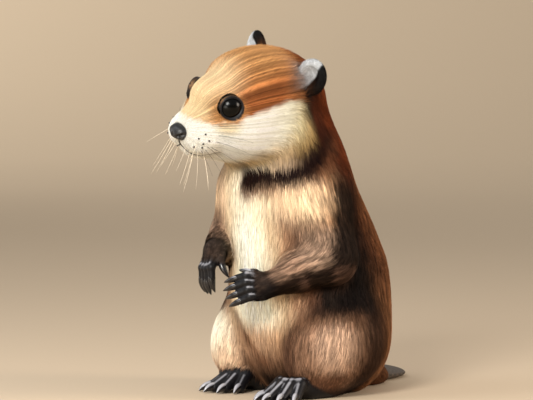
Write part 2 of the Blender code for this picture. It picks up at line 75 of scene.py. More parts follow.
def gauss(x):
    return np.exp(-(x**2))


view = dict(azimuth=48, elevation=3.5, distance=4.0, aim=(-0.019, -0.049, 0.1905), height=0.3956)


def setCamera():
    a, e = math.radians(view["azimuth"]), math.radians(view["elevation"])
    away = Vector((math.sin(a) * math.cos(e), -math.cos(a) * math.cos(e), math.sin(e)))
    data = bpy.data.cameras.new("camera")
    camera = bpy.data.objects.new("camera", data)
    bpy.context.scene.collection.objects.link(camera)
    camera.location = Vector(view["aim"]) + away * view["distance"]
    camera.rotation_euler = (-away).to_track_quat("-Z", "Y").to_euler()
    data.sensor_fit, data.sensor_height = "VERTICAL", 24
    data.lens = 24 * view["distance"] / view["height"]
    data.clip_start, data.clip_end = 0.05, 50
    bpy.context.scene.camera = camera
    bpy.context.scene.view_settings.view_transform = "Standard"  # the colours as they are given, with no film curve


setCamera()


def toLinear(code):  # "#RRGGBB" in sRGB to linear
    c = np.array([int(code[k : k + 2], 16) for k in (1, 3, 5)]) / 255
    return np.where(c <= 0.04045, c / 12.92, ((c + 0.055) / 1.055) ** 2.4)


def colour(code, share=1.0):
    return (*np.minimum(toLinear(code) * share, 1), 1)


def addNode(tree, kind, settings=None, links=None):
    # A new node, or the node given. Settings go by input or property, "stops" are a ramp's positions and colour
    # codes, and a link comes from a node's first output or from the output given.
    node = tree.nodes.new("ShaderNode" + kind) if isinstance(kind, str) else kind
    for name, value in (settings or {}).items():
        if name == "stops":
            bands = node.color_ramp.elements
            for k, (position, *code) in enumerate(value):
                band = bands[k] if k < 2 else bands.new(position)
                band.position, band.color = position, colour(*code)
        elif isinstance(name, int) or name in node.inputs:
            node.inputs[name].default_value = value
        else:
            setattr(node, name, value)
    for name, source in (links or {}).items():
        tree.links.new(getattr(source, "outputs", [source])[0], node.inputs[name])
    return node


def newMaterial(name, **values):
    made = bpy.data.materials.new(name)
    made.use_nodes = True
    shader = made.node_tree.nodes["Principled BSDF"]
    for key, value in values.items():
        shader.inputs[key.replace("_", " ")].default_value = value
    return made, made.node_tree, shader


def grained(name, scale, detail, **values):  # a material with a fine noise through it
    made, tree, shader = newMaterial(name, **values)
    place = addNode(tree, "TexCoord").outputs["Object"]
    return made, tree, shader, place, addNode(tree, "TexNoise", dict(Scale=scale, Detail=detail), dict(Vector=place))


def ownColour(tree, grain, low, high):  # the colour each corner carries, a little lighter and darker with the grain
    own = addNode(tree, "Attribute", dict(attribute_name="coatColour"))
    light = addNode(tree, "MapRange", {"To Min": low, "To Max": high}, dict(Value=grain))
    mix = {"data_type": "RGBA", "blend_type": "MULTIPLY", 0: 1}
    return addNode(tree, "Mix", mix, {6: own, 7: light}).outputs[2]


def rampColour(tree, carried, grain, share, *stops):  # a ramp over what each corner carries and a share of the grain
    own = addNode(tree, "Attribute", dict(attribute_name=carried)).outputs["Fac"]
    mixed = addNode(tree, "Math", {"operation": "MULTIPLY_ADD", 1: share}, {0: grain, 2: own})
    return addNode(tree, "ValToRGB", dict(stops=stops), dict(Fac=mixed))


def newPiece(name, corners, faces, material, slot=None, nodes=(), **values):
    # One mesh. Nodes are the CAD nodes that it stands for, values give each corner a number or a linear colour.
    mesh = bpy.data.meshes.new(name)
    corners, faces = np.asarray(corners, np.float32), np.asarray(faces, np.int32)
    mesh.vertices.add(len(corners))
    mesh.vertices.foreach_set("co", corners.ravel())
    mesh.loops.add(faces.size)
    mesh.loops.foreach_set("vertex_index", faces.ravel())
    mesh.polygons.add(len(faces))
    mesh.polygons.foreach_set("loop_start", np.arange(0, faces.size, faces.shape[1], dtype=np.int32))
    mesh.polygons.foreach_set("use_smooth", np.ones(len(faces), bool))
    mesh.materials.append(material)
    mesh.update(calc_edges=True)
    mesh.validate()
    for key, value in values.items():
        if value.ndim == 2:
            value = np.hstack([value, np.ones((len(value), 1))])
            layer, kind = mesh.color_attributes.new(key, "FLOAT_COLOR", "POINT"), "color"
        else:
            layer, kind = mesh.attributes.new(key, "FLOAT", "POINT"), "value"
        layer.data.foreach_set(kind, value.astype(np.float32).ravel())
    piece = bpy.data.objects.new(name, mesh)
    bpy.context.scene.collection.objects.link(piece)
    if nodes:
        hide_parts(*nodes)
    if slot:
        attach(piece, "root")
    return piece


# Distance fields: below 0 inside a shape, above 0 outside


def ellipsoid(p, centre, radii):  # k (k - 1) / |q / r^2|, q the way from its centre, r its radii, k = |q / r|
    q = p - centre
    k = norm(q / radii)
    return k * (k - 1) / np.maximum(norm(q / (radii * radii)), 1e-9)


def partWay(p, start, end):  # how far along a line each point lies, from 0 to 1
    along = end - start
    return np.clip((p - start) @ along / (along @ along), 0, 1)


def limb(p, start, end, startRadius=0, endRadius=0):
    # distance to a line, less a radius that changes evenly along it
    t = partWay(p, start, end)
    return norm(p - start - t[..., None] * (end - start)) - (startRadius + (endRadius - startRadius) * t)


def join(a, b, width):  # union with a fillet
    share = np.clip(0.5 + 0.5 * (b - a) / width, 0, 1)
    return b + (a - b) * share - width * share * (1 - share)


def carve(a, b, width):  # a without b, with a fillet
    return -join(-a, b, width)


def where(p, low, high, fieldOf):  # the field near its box, a plain large value elsewhere
    out = np.full(len(p), 60 * mm)
    near = ((p > low) & (p < high)).all(axis=1)
    if near.any():
        out[near] = fieldOf(p[near])
    return out


body = dict(
    rumpHeight=49 * mm, rump=points(78, 71, 63), bellyHeight=112 * mm, belly=points(71, 66, 76),
    chestAt=points(0, -40, 186), chest=points(60, 54, 70), neckRadius=48 * mm,
    depth=5.5 * mm, neckDepth=5 * mm,  # how far the skin lies inside the tips of the coat
)
headAt = points(-10, -80, 290)
headAxes = np.array(Euler((math.radians(6), math.radians(17), math.radians(-2))).to_matrix())
eye = dict(radius=13.5 * mm, depth=8.5 * mm, line=points(0, -37, 5), facing=(1, -0.42, 0.16), lid=1.05 * mm)
ear = dict(radius=18 * mm, at=points(43, 38, 31))
nose = dict(at=points(0, -83.4, -21), radii=points(10.8, 8.6, 7.9))
arms = {
    1: dict(shoulder=points(45, -46, 195), elbow=points(70, -44, 137), wrist=points(40, -100, 112),
            reach=unit((-0.56, -0.80, -0.12)), back=(0.74, -0.60, 0.23)),
    -1: dict(shoulder=points(-45, -46, 195), elbow=points(-70, -46, 148), wrist=points(-32, -105, 143),
             reach=unit((-0.02, -0.42, -0.90)), back=(-0.30, -0.85, 0.43)),
}
armRadii = points(35, 24, 18, 12.5)
for arm in arms.values():
    arm["upper"], arm["lower"] = unit(arm["elbow"] - arm["shoulder"]), unit(arm["wrist"] - arm["elbow"])
    arm["bend"] = unit(arm["lower"] + arm["upper"])
hand = dict(across=(-10, -9.6, -3.2, 3.2, 9.6), fan=(-38, -7, -4, -1, 2), lengths=(10, 21, 23, 22, 20),
            radius=4.2 * mm, claw=15 * mm)
foot = dict(spread={1: 47 * mm, -1: 40 * mm}, heel={1: -27 * mm, -1: -5 * mm}, splay=math.radians(6),
            radius=6.3 * mm, fan=(-26, -12, 1, 14, 27), lengths=(27, 35, 39, 36, 29), claw=15 * mm)
tail = dict(length=174 * mm, half=33 * mm, thick=9 * mm, paddleStart=0.22)


def headSpace(p):  # into the head's own frame
    return (p - headAt) @ headAxes


def fromHead(q):  # and back
    return headAt + np.asarray(q) @ headAxes.T


def trunkField(p):  # ellipsoids for rump, belly, chest and shoulders, and a tapered back, with fillets
    rump = ellipsoid(p, np.array((0, 0, body["rumpHeight"])), body["rump"])
    belly = ellipsoid(p, np.array((0, -14 * mm, body["bellyHeight"])), body["belly"])
    chest = ellipsoid(p, body["chestAt"], body["chest"])
    back = limb(p, points(0, -3, 122), points(0, -29, 222), 61 * mm, 45 * mm)
    d = join(join(rump, belly, 50 * mm), join(chest, back, 40 * mm), 50 * mm)
    for side in sides:
        d = join(d, ellipsoid(p, onSide(points(40, -42, 198), side), points(28, 32, 36)), 30 * mm)
    return d


def neckField(p):  # one tapered limb
    return limb(p, points(0, -42, 222), points(-6, -45, 286), body["neckRadius"] + 3 * mm, body["neckRadius"])


def skullField(q):  # skull, cheeks and muzzle out to the coat, in the head's own frame
    skull = ellipsoid(q, points(0, 14, 10), points(50, 54, 44))
    bridge = limb(q, points(0, -16, 9), points(0, -66, -15), 36 * mm, 15 * mm)
    snout = ellipsoid(q, points(0, -55, -23), points(28, 29, 20))
    brow = ellipsoid(q, points(0, -37, 11), points(25, 33, 22.5))
    chin = ellipsoid(q, points(0, -47, -41), points(19, 29, 12))
    throat = ellipsoid(q, points(0, 6, -34), points(42, 46, 30))
    d = join(join(skull, bridge, 24 * mm), brow, 8 * mm)
    d = join(d, join(snout, chin, 6 * mm), 16 * mm)
    d = join(d, throat, 24 * mm)
    for side in sides:
        d = join(d, ellipsoid(q, onSide(points(28, -13, -20), side), points(27, 42, 32)), 20 * mm)
        d = join(d, ellipsoid(q, onSide(points(13.5, -65, -28), side), points(16, 17, 14.5)), 9 * mm)
    return d


def findEye(side):  # the eye's middle lies a set depth under the face
    facing = unit(onSide(eye["facing"], side))
    near, far = 0.0, 0.08
    start = eye["line"] + points(8 * side, 0, 0)
    for _ in range(30):
        middle = (near + far) / 2
        near, far = (middle, far) if skullField((start + facing * middle)[None])[0] < 0 else (near, middle)
    return start + facing * (near - eye["depth"]), facing


def axesAlong(normal):  # a level axis, one across it, and the normal
    side = unit(np.cross((0, 0, 1.0), normal))
    return np.stack([side, np.cross(normal, side), normal], axis=1)


eyes = {side: findEye(side) for side in sides}
mouthPath = points(
    (0, -84, -27), (0, -83, -36), (6, -80.5, -40.5), (14, -74, -42.5), (22, -63, -41), (27, -52, -37.5))


def fromPath(p, path):  # least distance to the lines of a path
    return np.min([limb(p, start, end) for start, end in zip(path, path[1:])], axis=0)


def headField(p):  # the skin of the head, with lids, mouth and nose socket
    q = headSpace(p)
    d = skullField(q) + mm * (0.9 + 3.1 * ramp(q[:, 1], -78 * mm, 0.0))
    opening = math.sqrt(eye["radius"] ** 2 - (eye["depth"] + 0.4 * mm) ** 2) + eye["lid"] - 0.3 * mm
    for side in sides:
        centre, facing = eyes[side]
        e = (q - centre) @ axesAlong(facing)
        ring = np.hypot(e[:, 0], e[:, 1] * 1.03) - opening
        brow = 0.4 * mm * ramp(e[:, 1], 0, 8 * mm)
        over = e[:, 2] - eye["depth"] - 0.4 * mm
        over = np.maximum(over, 0) + np.minimum(over + 6 * mm, 0)  # the lid's wall goes 6 mm down
        d = join(d, np.hypot(ring, over * 0.8) - eye["lid"] - brow, 3.0 * mm)
        line = onSide(mouthPath, side)
        for start, end in zip(line, line[1:]):
            d = carve(d, limb(q, start, end, 0.75 * mm, 0.75 * mm), 1.2 * mm)
    return carve(d, ellipsoid(q, nose["at"], nose["radii"] - 0.7 * mm), 0.8 * mm)


def handAxes(side):  # across from the thumb, out of the back of the hand, along the fingers
    reach, back = arms[side]["reach"], np.array(arms[side]["back"])
    back = unit(back - reach * (reach @ back))
    return np.stack([np.cross(back, reach) * side, back, reach], axis=1)


def fingers(side):  # knuckle, bend and tip of each
    found = []
    for across, degrees, length in zip(hand["across"], hand["fan"], hand["lengths"]):
        thumb = degrees < -20
        way = np.array((math.sin(math.radians(degrees)), 0, math.cos(math.radians(degrees))))
        knuckle = points(across, -4 if thumb else 1, 6 if thumb else 8)
        bend = knuckle + (way * 0.58 + (-0.05, 0.09, 0)) * length * mm
        tip = bend + (way * 0.44 + (0.09, -0.22, 0)) * length * mm
        found.append([arms[side]["wrist"] + handAxes(side) @ x for x in (knuckle, bend, tip)])
    return found


def handField(p, side):  # an ellipsoid palm and three limbs for each finger, with fillets
    d = ellipsoid((p - arms[side]["wrist"]) @ handAxes(side), points(0, -0.5, 8), points(13, 7, 12))
    r = hand["radius"]
    for knuckle, bend, tip in fingers(side):
        one = limb(p, knuckle, bend, r * 1.10, r * 0.92)
        one = join(one, limb(p, bend, tip, r * 0.95, r * 0.86), 1.2 * mm)
        one = join(one, limb(p, bend - unit(bend - knuckle) * 1.0 * mm, bend, r, r), 1.2 * mm)
        d = join(d, one, 1.7 * mm)
    return d


def armField(p, side):  # tapered limbs from shoulder over elbow to wrist, joined to the hand
    arm = arms[side]
    shoulder, elbow, wrist = arm["shoulder"], arm["elbow"], arm["wrist"]
    middle = elbow + (wrist - elbow) * 0.55
    a, b, c, e = armRadii
    upper = limb(p, shoulder, elbow, a - 5 * mm, b - 4 * mm)
    fore = limb(p, middle, wrist, c - 3 * mm, e - 1.2 * mm)
    d = join(upper, join(limb(p, elbow, middle, b - 4 * mm, c - 3 * mm), fore, 8 * mm), 12 * mm)
    low, high, reach = wrist - 34 * mm, wrist + 34 * mm, arm["reach"] * 22 * mm
    low, high = np.minimum(low, low + reach), np.maximum(high, high + reach)
    return join(d, where(p, low, high, lambda x: handField(x, side)), 6 * mm)


def footFrame(side):  # the heel, and axes across, ahead and up from it
    heel = np.array((side * foot["spread"][side], foot["heel"][side], 0))
    turn = np.array(Matrix.Rotation(side * foot["splay"], 3, "Z"))
    return heel, turn @ np.diag((side, -1, 1))


def toes(side):  # root, knuckle and tip of each
    heel, axes = footFrame(side)
    found = []
    for degrees, length in zip(foot["fan"], foot["lengths"]):
        way = np.array((math.sin(math.radians(degrees)), math.cos(math.radians(degrees)), 0))
        root = points(0, 30, 12) + way * points(17, 17, 0)
        knuckle = root + way * length * 0.45 * mm + points(0, 0, 4.5)
        tip = root + way * length * mm - points(0, 0, 7.2)
        found.append([heel + axes @ x for x in (root, knuckle, tip)])
    return found


def footField(p, side):  # an ellipsoid, two limbs for each toe, and thin limbs as rays of the web between toes
    heel, axes = footFrame(side)
    d = ellipsoid((p - heel) @ axes, points(0, 18, 10), points(17.2, 39, 13.2))
    joints, r = toes(side), foot["radius"]
    for root, knuckle, tip in joints:
        toe = join(limb(p, root, knuckle, r * 0.96, r), limb(p, knuckle, tip, r * 0.98, r * 0.8), 1.5 * mm)
        d = join(d, toe, 2.4 * mm)
    for first, second in zip(joints, joints[1:]):
        for share in (0.25, 0.5, 0.75):  # rays of the web
            inner = first[0] + (second[0] - first[0]) * share - points(0, 0, 4)
            outer = first[2] + (second[2] - first[2]) * share
            outer = inner + (outer - inner) * 0.80 - points(0, 0, 0.6)
            d = join(d, limb(p, inner, outer, 2.6 * mm, 1.5 * mm), 1.6 * mm)
    return d


def legField(p, side):  # ellipsoids for haunch and knee, joined to the foot
    haunch = ellipsoid(p, onSide(points(54, -18, 54), side), points(38, 52, 55))
    knee = ellipsoid(p, onSide(points(54, -48, 42), side), points(28, 34, 40))
    leg = join(haunch, knee, 24 * mm) + 4.5 * mm
    low, high = np.array((side * 47 - 50, -160, -30)) * mm, np.array((side * 47 + 50, 50, 60)) * mm
    return join(leg, where(p, low, high, lambda x: footField(x, side)), 8 * mm)


def tailLine(t):  # an arc that starts at 14 degrees and turns by 72, its height falling as e^(-9 t)
    t = np.asarray(t, float)
    start, turn = math.radians(14), math.radians(72)
    x = -8 * mm - tail["length"] * (np.cos(start) - np.cos(start + turn * t)) / turn
    y = 58 * mm + tail["length"] * (np.sin(start + turn * t) - np.sin(start)) / turn
    z = 26 * mm * np.exp(-9 * t) + tail["thick"] / 2 - 1 * mm
    return np.stack([x, y, z], axis=-1)


def flattening(p):  # 1 + 0.9 r^2, r the way from the tail's root to its paddle, from 0 to 1
    far = norm(p[:, :2] - tailLine(0)[:2]) / (tail["paddleStart"] * tail["length"])
    return 1 + 0.9 * np.clip(far, 0, 1) ** 2


def tailField(p):  # tapered limbs along the tail's line, pressed flat towards the paddle
    stations = tailLine(np.linspace(0.0, tail["paddleStart"] + 0.02, 4))
    stations[:, 2] *= flattening(stations)
    q = p * (1, 1, 0) + (p[:, 2] * flattening(p))[:, None] * (0, 0, 1)
    radii = points(33 - 5, 27 - 4, 21 - 3, 17 - 2.5)
    d = limb(q, stations[0], stations[1], radii[0], radii[1])
    for k in (1, 2):
        d = join(d, limb(q, stations[k], stations[k + 1], radii[k], radii[k + 1]), 6 * mm)
    return d / flattening(p)


def earAxes(side):  # across, ahead and up the ear
    facing = unit((0.22 * side, -0.96, 0.12))
    up = np.array((0.45 * side, 0.10, 1.0))
    up = unit(up - facing * (up @ facing))
    return np.stack([np.cross(facing, up), facing, up], axis=1)


def earField(p, side):  # an ellipsoid disc with an ellipsoid bowl carved out of its front
    q = (headSpace(p) - onSide(ear["at"], side)) @ earAxes(side)
    disc = ellipsoid(q, points(0, 0, 3), np.array((ear["radius"], 6.0 * mm, ear["radius"] * 1.1)) - 0.8 * mm)
    return carve(disc, ellipsoid(q, points(0, 7.2, 4.5), points(11.6, 8.2, 12.2)), 1.6 * mm)


def partFields(p):  # each part of the skin by itself
    found = dict(trunk=trunkField(p) + body["depth"], neck=neckField(p) + body["neckDepth"])
    found["head"] = where(p, headAt - 135 * mm, headAt + 135 * mm, headField)
    for side in sides:
        a, e = [arms[side][k] for k in ("shoulder", "elbow", "wrist")], fromHead(onSide(ear["at"], side))
        low, high = np.min(a, axis=0) - 75 * mm, np.max(a, axis=0) + 75 * mm
        found["arm", side] = where(p, low, high, lambda x: armField(x, side))
        low, high = points(side * 54 - 80, -190, -40), points(side * 54 + 80, 80, 160)
        found["leg", side] = where(p, low, high, lambda x: legField(x, side))
        found["ear", side] = where(p, e - 34 * mm, e + 34 * mm, lambda x: earField(x, side))
    found["tail"] = where(p, points(-110, 0, -50), points(80, 170, 100), tailField)
    return found


def skinField(p):  # the parts in one, standing on the floor
    found = partFields(p)
    d = join(join(found["trunk"], found["neck"], 26 * mm), found["head"], 15 * mm)
    d = join(d, found["tail"], 12 * mm)
    for side in sides:
        near = norm(p - arms[side]["shoulder"])
        d = join(d, found["arm", side], 16 * mm - 13.5 * mm * ramp(near, 30 * mm, 85 * mm))
        d = join(d, found["leg", side], 4 * mm + 10 * mm * ramp(p[:, 2], 12 * mm, 50 * mm))
        d = join(d, found["ear", side], 4 * mm)
    return np.maximum(d, 0.35 * mm - p[:, 2])


# From the field to the skin

octants = np.array([(i, j, k) for i in (0, 1) for j in (0, 1) for k in (0, 1)])  # the corners of a cell


def inChunks(fieldOf, p, size=120000):
    return np.concatenate([fieldOf(p[k : k + size]) for k in range(0, len(p), size)])


def withSlope(fieldOf, p, h):  # the field and its slope, from a small step along each axis
    value = inChunks(fieldOf, p)
    slope = np.stack([inChunks(fieldOf, p + np.eye(3)[k] * h) - value for k in range(3)], axis=1) / h
    return value, slope


def netSurface(fieldOf, low, high, step, halvings):
    # Cells near the surface are halved down to the step. Each cell that the surface crosses has one vertex, at
    # the mean of the crossings on its edges, and each crossed edge joins the four cells round it.
    size = step * 2**halvings
    counts = np.ceil((high - low) / size).astype(int)
    cells = np.stack(np.meshgrid(*[np.arange(c) for c in counts], indexing="ij"), -1).reshape(-1, 3)
    for level in range(halvings + 1):
        value = inChunks(fieldOf, low + (cells + 0.5) * size)
        cells = cells[np.abs(value) < size * (1.6 if level < halvings else 1.15)]
        if level < halvings:
            cells = (cells[:, None] * 2 + octants).reshape(-1, 3)
            size /= 2
    wide = counts * 2**halvings + 2

    def keyOf(c):
        return (c[..., 0] * wide[1] + c[..., 1]) * wide[2] + c[..., 2]

    corners = cells[:, None] + octants
    _, first, back = np.unique(keyOf(corners).ravel(), return_index=True, return_inverse=True)
    value = inChunks(fieldOf, low + corners.reshape(-1, 3)[first] * size)[back].reshape(-1, 8)
    crossed = (value < 0).any(axis=1) & (value >= 0).any(axis=1)
    cells, value = cells[crossed], value[crossed]
    order = np.argsort(keyOf(cells))
    cells, value = cells[order], value[order]
    key = keyOf(cells)
    place, number = np.zeros((len(cells), 3)), np.zeros(len(cells))
    for a in range(8):
        for b in range(a + 1, 8):
            if np.abs(octants[a] - octants[b]).sum() == 1:
                cut = (value[:, a] < 0) != (value[:, b] < 0)
                share = value[cut, a] / (value[cut, a] - value[cut, b])
                place[cut] += octants[a] + (octants[b] - octants[a]) * share[:, None]
                number[cut] += 1
    corners = low + (cells + place / number[:, None]) * size
    quads = []
    for axis, (u, v) in enumerate(((1, 2), (2, 0), (0, 1))):
        inner = value[:, 0] < 0
        cut = inner != (value[:, 4 >> axis] < 0)
        du, dv = np.eye(3, dtype=int)[[u, v]]
        ring = [cells[cut] - shift for shift in (0 * du, du, du + dv, dv)]
        index = np.stack([np.searchsorted(key, keyOf(r)) for r in ring], axis=1)
        known = (index < len(key)).all(axis=1)
        index = np.minimum(index, len(key) - 1)
        for k in range(4):
            known &= key[index[:, k]] == keyOf(ring[k])
        quads.append(np.where(inner[cut][:, None], index, index[:, ::-1])[known])
    quads = np.concatenate(quads)
    first, second = [norm(corners[quads[:, k]] - corners[quads[:, k + 2]]) for k in (0, 1)]
    turned = np.where((first > second)[:, None], np.roll(quads, -1, axis=1), quads)  # cut along the shorter way
    return corners, np.concatenate([turned[:, [0, 1, 2]], turned[:, [0, 2, 3]]])


def settle(p, rounds=2, reach=0.8 * mm):  # moves points along the slope of the field on to the skin
    for _ in range(rounds):
        value, slope = withSlope(skinField, p, 0.15 * mm)
        move = -value[:, None] * slope / np.maximum((slope * slope).sum(axis=1, keepdims=True), 0.1)
        p = p + np.clip(move, -reach, reach)
    return p


def edgesOf(faces):
    return np.sort(np.concatenate([faces[:, [0, 1]], faces[:, [1, 2]], faces[:, [2, 0]]]), axis=1)


def refine(p, faces, fine):  # splits each edge between two marked vertices
    edges = edgesOf(faces)
    split = fine[edges].all(axis=1)
    key = edges[:, 0] * len(p) + edges[:, 1]
    keys, first = np.unique(key[split], return_index=True)
    middle = p[edges[split][first]].mean(axis=1)
    number = np.full(len(key), -1)
    number[split] = np.searchsorted(keys, key[split]) + len(p)
    m = number.reshape(3, -1).T
    (a, b, c), (ab, bc, ca) = faces.T, m.T
    full = (m >= 0).all(axis=1)
    out = [faces[(m < 0).all(axis=1)]]
    out += [np.stack(x, axis=1)[full] for x in ((a, ab, ca), (ab, b, bc), (ca, bc, c), (ab, bc, ca))]
    for one, two, three, mid in ((a, b, c, ab), (b, c, a, bc), (c, a, b, ca)):
        only = (mid >= 0) & ~full
        out += [np.stack(x, axis=1)[only] for x in ((one, mid, three), (mid, two, three))]
    return np.concatenate([p, middle]), np.concatenate(out)


def parted(p, faces):  # where two sheets touch along an edge, each gets vertices of its own
    edges = edgesOf(faces)
    keys, counts = np.unique(edges[:, 0] * len(p) + edges[:, 1], return_counts=True)
    keys = keys[counts > 2]
    faces, extra = faces.copy(), []
    for v in np.unique(np.concatenate([keys // len(p), keys % len(p)])):
        own = np.nonzero((faces == v).any(axis=1))[0]
        corners, uses = np.unique(faces[own], return_counts=True)
        if not ((uses > 2) & (corners != v)).any():
            continue
        single = set(corners[uses == 2].tolist())
        left, fans = {f: set(faces[f].tolist()) & single for f in own}, []
        while left:
            f, around = left.popitem()
            fan, edge = [f], [around]
            while edge:
                around = edge.pop()
                for g in [g for g in left if left[g] & around]:
                    edge.append(left.pop(g))
                    fan.append(g)
            fans.append(fan)
        for fan in fans[1:]:
            faces[fan] = np.where(faces[fan] == v, len(p) + len(extra), faces[fan])
            extra.append(p[v])
    return np.concatenate([p, np.reshape(extra, (-1, 3))]), faces


def vertexNormals(p, faces):  # the faces' normals at each vertex, added up by area
    n = np.cross(p[faces[:, 1]] - p[faces[:, 0]], p[faces[:, 2]] - p[faces[:, 0]])
    sums = [sum(np.bincount(faces[:, k], n[:, axis], len(p)) for k in range(3)) for axis in range(3)]
    return unit(np.stack(sums, axis=1))


def nearDetail(p):  # where the skin needs fine faces
    q = headSpace(p)
    fine = norm(q - points(0, -78, -30)) < 22 * mm
    for side, arm in arms.items():
        tips = np.mean([t[2] for t in toes(side)], axis=0)
        fine |= norm(q - eyes[side][0]) < 17 * mm
        fine |= norm(p - arm["wrist"] - arm["reach"] * 20 * mm) < 24 * mm
        fine |= (norm((p - tips) * (1, 1, 1.5)) < 31 * mm) & (p[:, 2] > 2.0 * mm)
        fine |= norm(q - onSide(ear["at"], side) - points(0, 0, 6)) < 17 * mm
    return fine


skin = dict(step=1.97 * mm, halvings=3, low=points(-130, -185, -6), high=points(120, 150, 372))
skinPoints, skinFaces = parted(*netSurface(skinField, skin["low"], skin["high"], skin["step"], skin["halvings"]))
skinPoints = settle(skinPoints)
print("skin net:", len(skinPoints), "vertices,", len(skinFaces), "triangles")
skinPoints, skinFaces = refine(skinPoints, skinFaces, nearDetail(skinPoints))
skinPoints = settle(skinPoints, 2, 0.5 * mm)
skinNormals = vertexNormals(skinPoints, skinFaces)
print("skin:", len(skinPoints), "vertices,", len(skinFaces), "triangles")

# Markings: one set of formulas that the skin and the coat share

creamLine = points(
    (-90, -4), (-77, -6), (-66, -8), (-56, -8), (-46, -5), (-36, 0), (-22, 6), (-6, 11), (12, 15), (24, 13), (36, 4),
    (46, -12), (60, -34))
bodyStops = (  # degrees round the body from the belly's middle; the near black from 60 to 98 is dark flank fur, deepened as painted shade under the arms
    (0, "#FFFCEA"), (14, "#FFF3D8"), (28, "#DEC39F"), (40, "#B0886A"), (50, "#5F3E2C"), (60, "#140C09"),
    (74, "#080505"), (98, "#120A07"), (112, "#3A2113"), (130, "#664028"), (150, "#7C5234"), (180, "#85593A"),
)
creaseShadeLine = points((-30, -77, 82), (-15, -77, 58), (2, -70, 38))  # painted shade along the crease between belly and right thigh
middleLine = points(49, 112, 186, 222), points(0, -14, -36, -38)  # the trunk's middle: heights, and y at each
lattice = rng.random((32, 32, 32))


def wander(p, size, shift=0.0):  # even noise from -1 to 1: random values on a lattice, blended between its corners
    q = p / size + shift + 7.3
    base = np.floor(q).astype(int)
    f = smooth(q - base)
    total = np.zeros(len(p))
    for octant in octants:
        total += np.prod(np.where(octant, f, 1 - f), axis=1) * lattice[tuple(((base + octant) % 32).T)]
    return total * 2 - 1


def plain(p, code):
    return np.tile(toLinear(code), (len(p), 1))


def painted(colours, *layers):  # each layer's colour over the one before, by its share
    for code, share in layers:
        colours = colours + (toLinear(code) - colours) * np.clip(share, 0, 1)[:, None]
    return colours


def spot(p, centre, radii, softness=0.5):  # 1 inside an ellipsoid, 0 outside, even between
    return fall(norm((p - points(*centre)) / points(*radii)), 1 - softness, 1 + softness)


def sharesOf(p):  # how much each part has of each point: e^(-distance / 4 mm), adding up to 1
    weights = {name: np.exp(-np.maximum(d, 0) / (4 * mm)) for name, d in partFields(p).items()}
    total = sum(weights.values())
    return {name: w / total for name, w in weights.items()}


def mirroredSide(p):  # the same place on the left side
    return np.column_stack([np.abs(p[:, 0]), p[:, 1:]])


def headColours(q, ragged):  # brown over the cream line and pale below it, with ellipsoid spots
    h = mirroredSide(q)
    x, y, z = h.T / mm
    above = z - np.interp(h[:, 1], creamLine[:, 0], creamLine[:, 1]) / mm + ragged * 2.4
    low = z - (-39.5 + 0.53 * (y - 5)) + ragged * 2.5
    rust = ramp(x, 21, 31) * fall(above, 16, 30) * ramp(y, -45, -31) * (1 - 0.5 * ramp(y, 0, 24))
    # collar under the cheek: dark fur, partly painted shade
    collarAndShade = fall(low, -1, 7) * ramp(x, 20, 36) * ramp(y, -38, -22)
    behind = ramp(y + ragged * 3, 33, 42) * fall(above, 2, 14)
    crown = painted(
        plain(q, "#C28450"),
        ("#CC955F", spot(h, (0, -4, 52), (30, 40, 26))),
        ("#F6D2A4", spot(h, (0, -50, 26), (26, 34, 22), 0.6)),
        ("#F4D5A6", spot(h, (0, -72, 2), (24, 22, 18), 0.7)),
        ("#7E3F1C", ramp(y, 22, 50) * 0.95),
        ("#8A4F2A", rust * 0.92),
        ("#B27E4A", spot(h, (26, -46, 3), (18, 18, 16), 0.4) * 0.85),
        ("#4E3022", spot(h, (40, 27, 26), (17, 15, 17), 0.5) * (0.55 + 0.5 * ragged)))
    pale = painted(
        plain(q, "#F5F3E8"),
        ("#E4E3CC", ramp(y, -20, 14) * 0.7),
        ("#BFB082", ramp(y - 0.5 * low, -16, 14) * 0.85),
        ("#AC8E5C", fall(low, 6, 28) * ramp(y, -54, -22) * 0.95),
        ("#755A34", fall(low, 0, 16) * ramp(y, -34, -4) * 0.88),
        ("#93774A", ramp(y + ragged * 3, 20, 33) * fall(above, -12, 2) * 0.7),
        ("#D2B88A", spot(h, (35, -52, -9), (10, 14, 7), 0.7) * 0.75))
    c = crown + (pale - crown) * fall(above, -3.2, 3.2)[:, None]
    c = painted(
        c,
        # dark under the ear: dark fur, deepened as painted shade cast by the ear
        ("#1B120E", spot(h, (46, 40, 4), (13, 14, 20), 0.5) * 0.9),
        ("#20100A", np.maximum(collarAndShade, behind * 0.92)))
    return c, low


def bodyColours(p, ragged):  # stops by the angle round the trunk, then spots and bands by height
    middle = np.interp(p[:, 2], *middleLine)
    angle = np.degrees(np.arctan2(np.abs(p[:, 0]), middle - p[:, 1])) + ragged * 5
    stops = np.array([s[0] for s in bodyStops], float)
    codes = np.array([toLinear(s[1]) for s in bodyStops])
    x, _, z = p.T / mm
    ventral = fall(angle, 42, 62)
    # painted shade in the crease between belly and right thigh
    folds = [("#6B4731", gauss(limb(p, start, end) / (6 * mm)) * 0.75) for start, end in zip(creaseShadeLine, creaseShadeLine[1:])]
    return painted(
        np.stack([np.interp(angle, stops, codes[:, k]) for k in range(3)], axis=1),
        ("#E8D6B8", ramp(z, 160, 192) * ventral * 0.45),
        ("#BC8E68", fall(z, 62, 86) * ventral * 0.85),
        # painted highlight: a pale pool on the belly where the hand's shadow falls
        ("#FFF8E2", spot(p, (2, -84, 90), (24, 26, 13), 0.7) * ventral * 0.9),
        ("#7A563F", fall(z, 34, 68) * ventral * 0.9),
        # painted shadow low between the legs
        ("#080506", fall(z, 16, 46) * ramp(x, -30, -6) * ventral * 0.97),
        *folds,
        ("#815A3E", fall(z, 50, 150) * ramp(angle, 92, 112) * 0.9))


